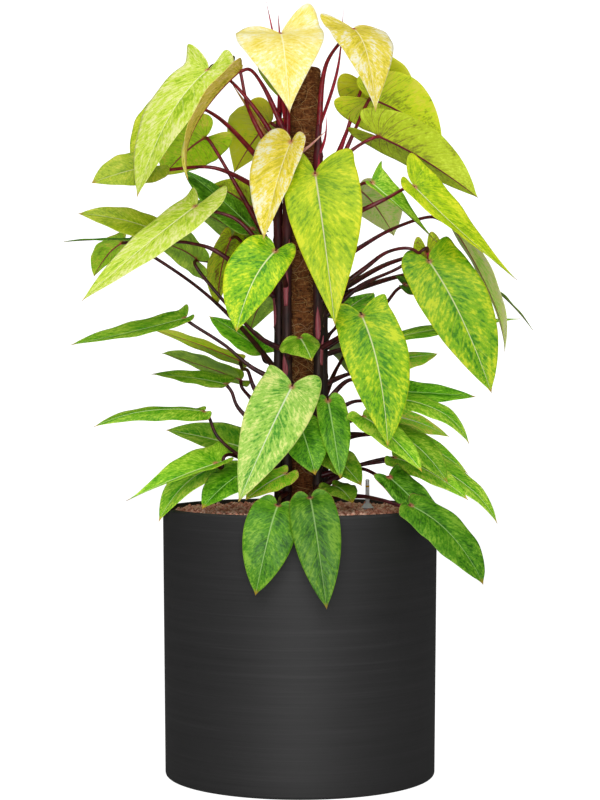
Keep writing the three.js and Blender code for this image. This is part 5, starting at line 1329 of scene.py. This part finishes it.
class Paint:
    """One procedural material. Most methods add a shader node and give back the socket with its result."""

    def __init__(self, name, roughness=0.5, specular=0.5):
        self.material = bpy.data.materials.new(name)
        self.material.use_nodes = True
        self.tree = self.material.node_tree
        self.shader = self.tree.nodes["Principled BSDF"]
        self.shader.inputs["Roughness"].default_value = roughness
        self.shader.inputs["Specular IOR Level"].default_value = specular

    def feed(self, socket, value):
        """Sets a socket to a value, or links it to the socket given."""
        if isinstance(value, bpy.types.NodeSocket):
            self.tree.links.new(value, socket)
        else:
            socket.default_value = value

    def maths(self, operation, first, second=0.0, third=0.0):
        node = self.tree.nodes.new("ShaderNodeMath")
        node.operation = operation
        for socket, value in zip(node.inputs, (first, second, third)):
            self.feed(socket, value)
        return node.outputs[0]

    def step(self, value, low, high, start=0.0, end=1.0):
        """start below low, end above high, and a smooth step between them."""
        node = self.tree.nodes.new("ShaderNodeMapRange")
        node.interpolation_type = "SMOOTHSTEP"
        for socket, given in zip(node.inputs, (value, low, high, start, end)):
            self.feed(socket, given)
        return node.outputs[0]

    def mix(self, share, first, second):
        """Goes from the first colour to the second as share goes from 0 to 1."""
        node = self.tree.nodes.new("ShaderNodeMix")
        node.data_type = "RGBA"
        self.feed(node.inputs[0], share)
        self.feed(node.inputs[6], colour(first) if isinstance(first, str) else first)
        self.feed(node.inputs[7], colour(second) if isinstance(second, str) else second)
        return node.outputs[2]

    def ramp(self, share, stops):
        """Colours at places from 0 to 1, with a smooth passage between them."""
        node = self.tree.nodes.new("ShaderNodeValToRGB")
        node.color_ramp.interpolation = "EASE"
        elements = node.color_ramp.elements
        while len(elements) < len(stops):
            elements.new(0.5)
        for element, (position, tint) in zip(elements, stops):
            element.position = position
            element.color = colour(tint)
        self.feed(node.inputs[0], share)
        return node.outputs[0]

    def noise(self, vector, scale, detail=3.0, rough=0.55):
        node = self.tree.nodes.new("ShaderNodeTexNoise")
        for name, value in (("Vector", vector), ("Scale", scale), ("Detail", detail), ("Roughness", rough)):
            self.feed(node.inputs[name], value)
        return node.outputs["Fac"]

    def position(self):
        return self.tree.nodes.new("ShaderNodeTexCoord").outputs["Object"]

    def grain(self, scale, detail=3.0, rough=0.55):
        """Noise over the piece, with one scale for all ways or one for each axis."""
        if isinstance(scale, tuple):
            return self.noise(self.stretched(self.position(), scale), 1.0, detail, rough)
        return self.noise(self.position(), scale, detail, rough)

    def attribute(self, name, output="Fac"):
        node = self.tree.nodes.new("ShaderNodeAttribute")
        node.attribute_name = name
        return node.outputs[output]

    def parts(self, vector):
        node = self.tree.nodes.new("ShaderNodeSeparateXYZ")
        self.feed(node.inputs[0], vector)
        return node.outputs

    def vector(self, x, y, z):
        node = self.tree.nodes.new("ShaderNodeCombineXYZ")
        for socket, value in zip(node.inputs, (x, y, z)):
            self.feed(socket, value)
        return node.outputs[0]

    def stretched(self, vector, by):
        node = self.tree.nodes.new("ShaderNodeVectorMath")
        node.operation = "MULTIPLY"
        self.feed(node.inputs[0], vector)
        self.feed(node.inputs[1], by)
        return node.outputs[0]

    def with_painted_light(self, tint, light):
        """A colour times a leaf's light factor, kept under white: painted light over 1, painted shade under
        1.
        """
        times = self.tree.nodes.new("ShaderNodeVectorMath")
        times.operation = "SCALE"
        self.feed(times.inputs[0], tint)
        self.feed(times.inputs["Scale"], light)
        under = self.tree.nodes.new("ShaderNodeVectorMath")
        under.operation = "MINIMUM"
        self.feed(under.inputs[0], times.outputs[0])
        under.inputs[1].default_value = (LIGHTEST, LIGHTEST, LIGHTEST)
        return under.outputs[0]

    def bumps(self, height, distance, strength=1.0):
        node = self.tree.nodes.new("ShaderNodeBump")
        self.feed(node.inputs["Height"], height)
        self.feed(node.inputs["Distance"], distance)
        self.feed(node.inputs["Strength"], strength)
        self.feed(self.shader.inputs["Normal"], node.outputs[0])

    def cover(self, tint):
        """The colour that the surface shows."""
        self.feed(self.shader.inputs["Base Color"], colour(tint) if isinstance(tint, str) else tint)
        return self.material


def colour(code):
    """A colour from its six-figure code, as the linear values that the shader works with."""
    parts = np.array([int(code[i:i + 2], 16) for i in (0, 2, 4)]) / 255
    linear = np.where(parts <= 0.04045, parts / 12.92, ((parts + 0.055) / 1.055) ** 2.4)
    return (*linear.tolist(), 1.0)


def leaf_paint(name, look):
    """A leaf: streaks of colour along the side veins, flecks, a pale rib and margin; below, a duller ground
    with a raised red rib. The veins run at even stations round the outline and bend forward towards the
    margin. Round the stalk the blade blushes, and its very tip is burnt."""
    paint = Paint("leaf_" + name, roughness=0.42, specular=0.3)
    station, signed, seed = paint.parts(paint.attribute("veins", "Vector"))
    outward = paint.maths("ABSOLUTE", signed)
    half = paint.maths("MULTIPLY", paint.maths("SIGN", signed), 3.0)
    own = paint.maths("ADD", seed, half)
    place_on_leaf = paint.vector(station, outward, own)

    bend = paint.maths("MULTIPLY", paint.maths("POWER", outward, 2.5), -VEIN_BEND)
    phase = paint.maths("MULTIPLY", paint.maths("ADD", station, bend), SIDE_VEINS)
    to_vein = paint.maths("ABSOLUTE", paint.maths("SUBTRACT", paint.maths("FRACT", phase), 0.5))
    vein = paint.step(to_vein, 0.0, 0.10, 1.0, 0.0)
    vein = paint.maths("MULTIPLY", vein, paint.step(outward, 0.55, 1.0, 1.0, 0.15))
    fine = paint.maths("MULTIPLY", phase, FINE_VEINS)
    fine = paint.maths("ABSOLUTE", paint.maths("SUBTRACT", paint.maths("FRACT", fine), 0.5))

    streaks = paint.noise(paint.stretched(place_on_leaf, (84.0, 6.0, 1.0)), 1.0, 4.0, 0.6)
    patches = paint.noise(paint.stretched(place_on_leaf, (9.0, 2.2, 1.7)), 1.0, 3.0)
    flecks = paint.noise(paint.position(), 330.0, 3.0, 0.65)
    mottle = paint.maths("MULTIPLY_ADD", streaks, 0.95, -0.51)
    mottle = paint.maths("ADD", mottle, paint.maths("MULTIPLY", patches, 0.8))
    mottle = paint.maths("ADD", mottle, paint.maths("MULTIPLY", flecks, 0.28))
    mottle = paint.maths("ADD", mottle, paint.maths("MULTIPLY_ADD", outward, 0.14, -0.07))
    dark, middle, light = look["top"]
    top = paint.ramp(mottle, [(0.30, dark), (0.50, middle), (0.72, light)])
    top = paint.mix(paint.maths("MULTIPLY", vein, 0.28), top, light)
    margin = paint.step(outward, 0.965, 0.995)
    top = paint.mix(paint.maths("MULTIPLY", margin, 0.55), top, light)

    dark, middle, light = look["under"]
    below = paint.ramp(mottle, [(0.25, dark), (0.5, middle), (0.8, light)])
    from_hinge, from_tip, _ = paint.parts(paint.attribute("ends", "Vector"))
    red_vein = paint.maths("MULTIPLY", paint.step(to_vein, 0.0, 0.05, 1.6, 0.0), look["red"])
    red_vein = paint.maths("MULTIPLY", red_vein, paint.step(from_hinge, 0.02, 0.09, 1.3, 0.15))
    below = paint.mix(red_vein, below, look["rib"][1])

    rib = paint.attribute("rib")
    rib_top, rib_below = look["rib"]
    top = paint.mix(paint.step(rib, 0.35, 1.25, 0.9, 0.0), top, rib_top)
    below = paint.mix(paint.step(rib, 0.8, 1.7, 1.0, 0.0), below, rib_below)
    blush = paint.step(from_hinge, 0.002, 0.008, 0.6, 0.0)
    notch_edge = paint.maths("MULTIPLY", margin, paint.step(from_hinge, 0.02, 0.05, 0.8, 0.0))
    blush = paint.maths("MAXIMUM", blush, notch_edge)
    burn = paint.step(from_tip, 0.002, 0.012, 0.65, 0.0)
    top = paint.mix(burn, paint.mix(blush, top, BLUSH), BURNT_TIP)
    below = paint.mix(blush, below, BLUSH_BELOW)
    relief = paint.maths("MULTIPLY_ADD", vein, -0.8, paint.maths("MULTIPLY", fine, 0.25))
    relief = paint.maths("ADD", relief, paint.maths("MULTIPLY", streaks, 0.5))
    paint.bumps(relief, 0.0006, 0.6)
    tint = paint.mix(paint.attribute("top"), below, top)
    # The leaf's colours are scaled by its light: painted light for leaves in shade, painted shade for leaves
    # in full light
    return paint.cover(paint.with_painted_light(tint, paint.attribute("light")))


# Finishes of one grain: roughness, the grain's scale, detail and roughness, the depth and strength of its
# relief, and its colours. Where crown colours are given, the colours pass into them between two heights.
FINISHES = {
    "stem_bark": {
        "roughness": 0.55, "grain": ((160.0, 160.0, 30.0), 4.0), "relief": (0.001, 0.7),
        "colours": [(0.3, "140c0c"), (0.55, "2e1a16"), (0.75, "5a3c30")],
        "crown": [(0.3, "300810"), (0.6, "641020"), (0.8, "983040")], "between": (0.6, 1.0),
    },
    "leaf_stalk": {
        "roughness": 0.33, "grain": (120.0, 3.0), "relief": (0.0004, 0.5),
        "colours": [(0.3, "28080e"), (0.6, "4c141c"), (0.8, "783038")],
        "crown": [(0.3, "64081c"), (0.6, "981228"), (0.8, "cc3c54")], "between": (0.72, 1.08),
    },
    "young_sheath": {
        "roughness": 0.4, "grain": ((260.0, 260.0, 24.0), 3.0), "relief": (0.0005, 0.6),
        "colours": [(0.3, "702830"), (0.55, "a84c58"), (0.8, "d87c80")],
        "crown": [(0.3, "8c0c28"), (0.6, "bc1438"), (0.8, "e04860")], "between": (0.85, 1.0),
    },
    "dry_sheath": {
        "roughness": 0.7, "grain": ((200.0, 200.0, 60.0), 4.0), "relief": (0.0008, 0.8),
        "colours": [(0.3, "6c6018"), (0.5, "c49040"), (0.75, "f4cc88")],
    },
    "pale_sheath": {
        "roughness": 0.5, "grain": ((220.0, 220.0, 40.0), 3.0), "relief": (0.0005, 0.6),
        "colours": [(0.3, "c87078"), (0.5, "e4a494"), (0.75, "f8d4bc")],
    },
    "root": {
        "roughness": 0.7, "grain": (60.0, 4.0),
        "colours": [(0.3, "4c3020"), (0.5, "946844"), (0.75, "c09468")],
    },
    "pole_wood": {
        "roughness": 0.7, "grain": ((300.0, 300.0, 12.0), 3.0),
        "colours": [(0.3, "7a5a36"), (0.7, "b8935f")],
    },
    # Painted shade: the dark ground that shows in the gaps between the loose stones
    "clay_bed_painted_shade": {
        "roughness": 0.95, "specular": 0.1, "grain": (320.0, 3.0, 0.7),
        "colours": [(0.35, "1c0f0c"), (0.6, "5a3529"), (0.8, "8a5a48")],
    },
    "culture_pot": {
        "roughness": 0.5, "grain": (260.0, 2.0), "relief": (0.0003, 0.4),
        "colours": [(0.3, "232322"), (0.7, "343433")],
    },
    # Partly painted light: the shaft's pale grey is lifted to near white to make up for the shade the leaves
    # cast on it
    "gauge_grey": {
        "roughness": 0.35, "grain": (130.0, 2.0),
        "colours": [(0.3, "e0e2e6"), (0.7, "f4f5f7")],
    },
    "gauge_red": {
        "roughness": 0.4, "grain": (200.0, 2.0),
        "colours": [(0.3, "a82820"), (0.7, "cc4030")],
    },
}


def finish_paint(name):
    """The material of a finish: its colours follow the grain, and so does its relief."""
    look = FINISHES[name]
    paint = Paint(name, look["roughness"], look.get("specular", 0.5))
    grain = paint.grain(*look["grain"])
    tint = paint.ramp(grain, look["colours"])
    if "crown" in look:
        height = paint.parts(paint.position())[2]
        tint = paint.mix(paint.step(height, *look["between"]), tint, paint.ramp(grain, look["crown"]))
    if "relief" in look:
        paint.bumps(grain, *look["relief"])
    return paint.cover(tint)


def two_grains(paint, first, second, relief):
    """Six parts of one grain and four of another, which also give the relief."""
    minor = paint.maths("MULTIPLY", paint.grain(*second), 0.4)
    share = paint.maths("MULTIPLY_ADD", paint.grain(*first), 0.6, minor)
    paint.bumps(share, *relief)
    return share


def coir_paint():
    """Coir: a felt of brown fibres whose darkest colour is painted shade in the gaps between them."""
    paint = Paint("coir", roughness=0.9, specular=0.2)
    level, felt = ((90.0, 90.0, 420.0), 5.0, 0.7), ((330.0, 330.0, 160.0), 4.0, 0.7)
    share = two_grains(paint, level, felt, (0.003, 0.9))
    # The darkest stop is painted shade in the gaps; the others are the fibres' own browns
    return paint.cover(paint.ramp(share, [(0.36, "241008"), (0.5, "744220"), (0.64, "b47c48")]))


def fibre_paint():
    """Loose coir fibres, each with its own brown."""
    paint = Paint("coir_fibre", roughness=0.75, specular=0.3)
    own = paint.attribute("tint")
    return paint.cover(paint.ramp(own, [(0.0, "4c2c14"), (0.5, "94643a"), (1.0, "d0a870")]))


def stone_paint():
    """Burnt clay stones: terracotta, each its own tint and pitted, in colours lighter than the real clay:
    painted light against the shade inside the planter.
    """
    paint = Paint("clay_stone", roughness=0.9, specular=0.2)
    pits = paint.noise(paint.position(), 900.0, 3.0, 0.7)
    tint = paint.maths("MULTIPLY_ADD", pits, 0.5, paint.maths("MULTIPLY", paint.attribute("tint"), 0.6))
    paint.bumps(pits, 0.0006, 0.8)
    return paint.cover(paint.ramp(tint, [(0.2, "a86a56"), (0.5, "e49e84"), (0.8, "ffd6bc")]))


def planter_paint():
    """The planter's satin dark grey with fine level brush lines and soft clouds."""
    paint = Paint("planter", roughness=0.66, specular=1.0)
    lines, broad = ((6.0, 6.0, 650.0), 3.0, 0.6), ((3.0, 3.0, 160.0), 3.0, 0.6)
    share = two_grains(paint, lines, broad, (0.0003, 0.5))
    return paint.cover(paint.ramp(share, [(0.35, "151415"), (0.5, "1c1b1c"), (0.65, "252425")]))


def clear_paint():
    """The gauge's clear tube: faintly grey with a yellow mark near its top, near white and nearly opaque as
    painted light that makes up for the leaves' shade on it.
    """
    paint = Paint("gauge_clear", roughness=0.12)
    paint.shader.inputs["IOR"].default_value = 1.45
    paint.shader.inputs["Transmission Weight"].default_value = 0.1
    height = paint.parts(paint.position())[2]
    off_mark = paint.maths("ABSOLUTE", paint.maths("SUBTRACT", height, GAUGE_TOP - GAUGE_MARK_BELOW_TOP))
    return paint.cover(paint.mix(paint.step(off_mark, 0.0012, 0.0016, 1.0, 0.0), "f2f4f8", "e0a818"))


# Putting the plant together

def build_leaves():
    """Every leaf as its own piece. It stands for its node, or with its stem's piece for the stem's node."""
    paints = {name: leaf_paint(name, look) for name, look in LOOKS.items()}
    for number, leaf in enumerate(LEAVES):
        shape = blade(leaf, number * PATTERN_STEP)
        made = piece("blade_" + leaf["name"], shape, [paints[leaf["look"]]])
        if leaf["slot"]:
            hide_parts("leaf_" + leaf["name"])
        else:
            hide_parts("stem_" + leaf["stem"])


def build_stems():
    """Each stem with its stalks, sheaths, husks and roots."""
    paints = [finish_paint(name) for name in STEM_FINISHES]
    for number, (name, stem) in enumerate(STEMS.items()):
        random = np.random.default_rng(40 + number)
        shapes = [stem_bark(stem)]
        shapes += [stalk(leaf) for leaf in LEAVES if leaf["stem"] == name]
        shapes += [sheath(stem, *rest) for where, *rest in SHEATHS if where == name]
        shapes += [husk(stem, *rest) for where, *rest in HUSKS if where == name]
        shapes += [foot_root(stem, i) for i in range(ROOTS_PER_STEM)]
        shapes += aerial_roots(name, random)
        made = piece("stem_and_stalks_" + name, joined(shapes), paints)
        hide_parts("stem_" + name)


def build_pole(nodes):
    """The coir sleeve and its loose fibres; the wooden core keeps its form."""
    random = np.random.default_rng(11)
    sleeve = piece("coir_sleeve", coir_sleeve(random), [coir_paint()])
    fibres = piece("coir_fibres", coir_fibres(random), [fibre_paint()], smooth=False)
    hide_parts("pole_coir")
    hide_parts("pole_coir")
    repaint(nodes["pole_core"], finish_paint("pole_wood"))


def build_granulate(nodes):
    """Loose stones on top of the granulate, whose bodies keep their form in a dark tone that is painted
    shade in the gaps between the stones.
    """
    random = np.random.default_rng(5)
    bed = finish_paint("clay_bed_painted_shade")
    repaint(nodes["granulate_in_planter"], bed)
    repaint(nodes["granulate_in_culture_pot"], bed)
    loose = stones(stone_centres(random), random)
    piece("clay_stones", loose, [stone_paint()], smooth=False)


def build_planter(nodes):
    """The brushed planter, and the culture pot in it, which keeps its form."""
    made = piece("planter_brushed", planter(), [planter_paint()])
    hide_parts("planter")
    repaint(nodes["culture_pot"], finish_paint("culture_pot"))


def build_gauge():
    """The water gauge's three pieces."""
    for name, shape, paint, slot in (
        ("shaft", gauge_shaft(), finish_paint("gauge_grey"), "gauge_grey"),
        ("tube", gauge_tube(), clear_paint(), "gauge_clear"),
        ("float", gauge_float(), finish_paint("gauge_red"), "gauge_red"),
    ):
        made = piece("water_gauge_" + name, shape, [paint])
        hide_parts("gauge_" + name)


def repaint(node, material):
    """A node of the part that keeps its form gets a better material in each of its slots."""
    for holder in node.material_slots:
        holder.material = material


# Studio

def seen_glow(tree, glow, seen):
    """The strength of a plain studio white: one glow for the soft light it gives, another where it is seen
    itself, and none in glossy reflections."""
    path = tree.nodes.new("ShaderNodeLightPath")
    soft = tree.nodes.new("ShaderNodeMath")
    soft.operation = "MULTIPLY"
    soft.inputs[1].default_value = glow
    tree.links.new(path.outputs["Is Diffuse Ray"], soft.inputs[0])
    both = tree.nodes.new("ShaderNodeMath")
    both.operation = "MULTIPLY_ADD"
    both.inputs[1].default_value = seen
    tree.links.new(path.outputs["Is Camera Ray"], both.inputs[0])
    tree.links.new(soft.outputs[0], both.inputs[2])
    return both.outputs[0]


def build_studio():
    """A pale floor, a white surround and soft lights."""
    far = FLOOR_REACH
    corners = [(-far, -far, 0), (far, -far, 0), (far, far, 0), (-far, far, 0)]
    mesh = bpy.data.meshes.new("floor")
    mesh.from_pydata(corners, [], [(0, 1, 2, 3)])
    floor = bpy.data.objects.new("floor", mesh)
    bpy.context.scene.collection.objects.link(floor)
    paint = Paint("floor", roughness=0.9)
    paint.shader.inputs["Emission Color"].default_value = (1, 1, 1, 1)
    paint.feed(paint.shader.inputs["Emission Strength"], seen_glow(paint.tree, FLOOR_GLOW, FLOOR_SEEN_GLOW))
    mesh.materials.append(paint.cover("8c8c8c"))

    world = bpy.data.worlds.new("surround")
    world.use_nodes = True
    background = world.node_tree.nodes["Background"]
    background.inputs["Color"].default_value = (1, 1, 1, 1)
    glow = seen_glow(world.node_tree, SURROUND_GLOW, SURROUND_SEEN_GLOW)
    world.node_tree.links.new(glow, background.inputs["Strength"])
    bpy.context.scene.world = world
    bpy.context.scene.view_settings.view_transform = "Standard"

    for name, place_of_light, size, power in (
        ("front_light", (-0.2, -3.5, 2.0), 1.5, 33),
        ("low_light", (0.0, -3.3, 0.45), 1.0, 19),
        ("left_light", (-2.6, -1.2, 2.4), 1.4, 6),
        ("right_light", (2.6, -1.2, 2.4), 1.4, 6),
        ("top_light", (0.0, -0.7, 3.4), 2.6, 36),
    ):
        light = bpy.data.lights.new(name, "AREA")
        light.size = size
        light.energy = power
        lamp = bpy.data.objects.new(name, light)
        lamp.location = place_of_light
        aim = LIGHTS_AIM - np.array(place_of_light)
        lamp.rotation_euler = (
            math.atan2(math.hypot(aim[0], aim[1]), -aim[2]), 0, math.atan2(-aim[0], aim[1])
        )
        bpy.context.scene.collection.objects.link(lamp)


def build_camera():
    """The photo's eye point: level, with a small shift that keeps the uprights upright."""
    lens = bpy.data.cameras.new("camera")
    lens.sensor_width = SENSOR_SIZE
    lens.lens = SENSOR_SIZE * LENS_PIXELS / PHOTO_HEIGHT
    lens.shift_y = -HORIZON_ABOVE_MIDDLE / PHOTO_HEIGHT
    camera = bpy.data.objects.new("camera", lens)
    camera.location = (0, -EYE_DISTANCE, EYE_HEIGHT)
    camera.rotation_euler = (math.pi / 2, 0, 0)
    bpy.context.scene.collection.objects.link(camera)
    bpy.context.scene.camera = camera


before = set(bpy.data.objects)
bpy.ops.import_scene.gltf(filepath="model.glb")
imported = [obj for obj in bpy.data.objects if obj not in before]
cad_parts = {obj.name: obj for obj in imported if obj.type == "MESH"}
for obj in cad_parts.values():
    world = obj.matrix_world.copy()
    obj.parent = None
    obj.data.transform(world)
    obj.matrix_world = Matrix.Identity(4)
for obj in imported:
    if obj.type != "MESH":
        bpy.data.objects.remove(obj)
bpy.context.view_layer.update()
build_planter(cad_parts)
build_granulate(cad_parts)
build_pole(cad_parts)
build_gauge()
build_stems()
build_leaves()
build_studio()
build_camera()
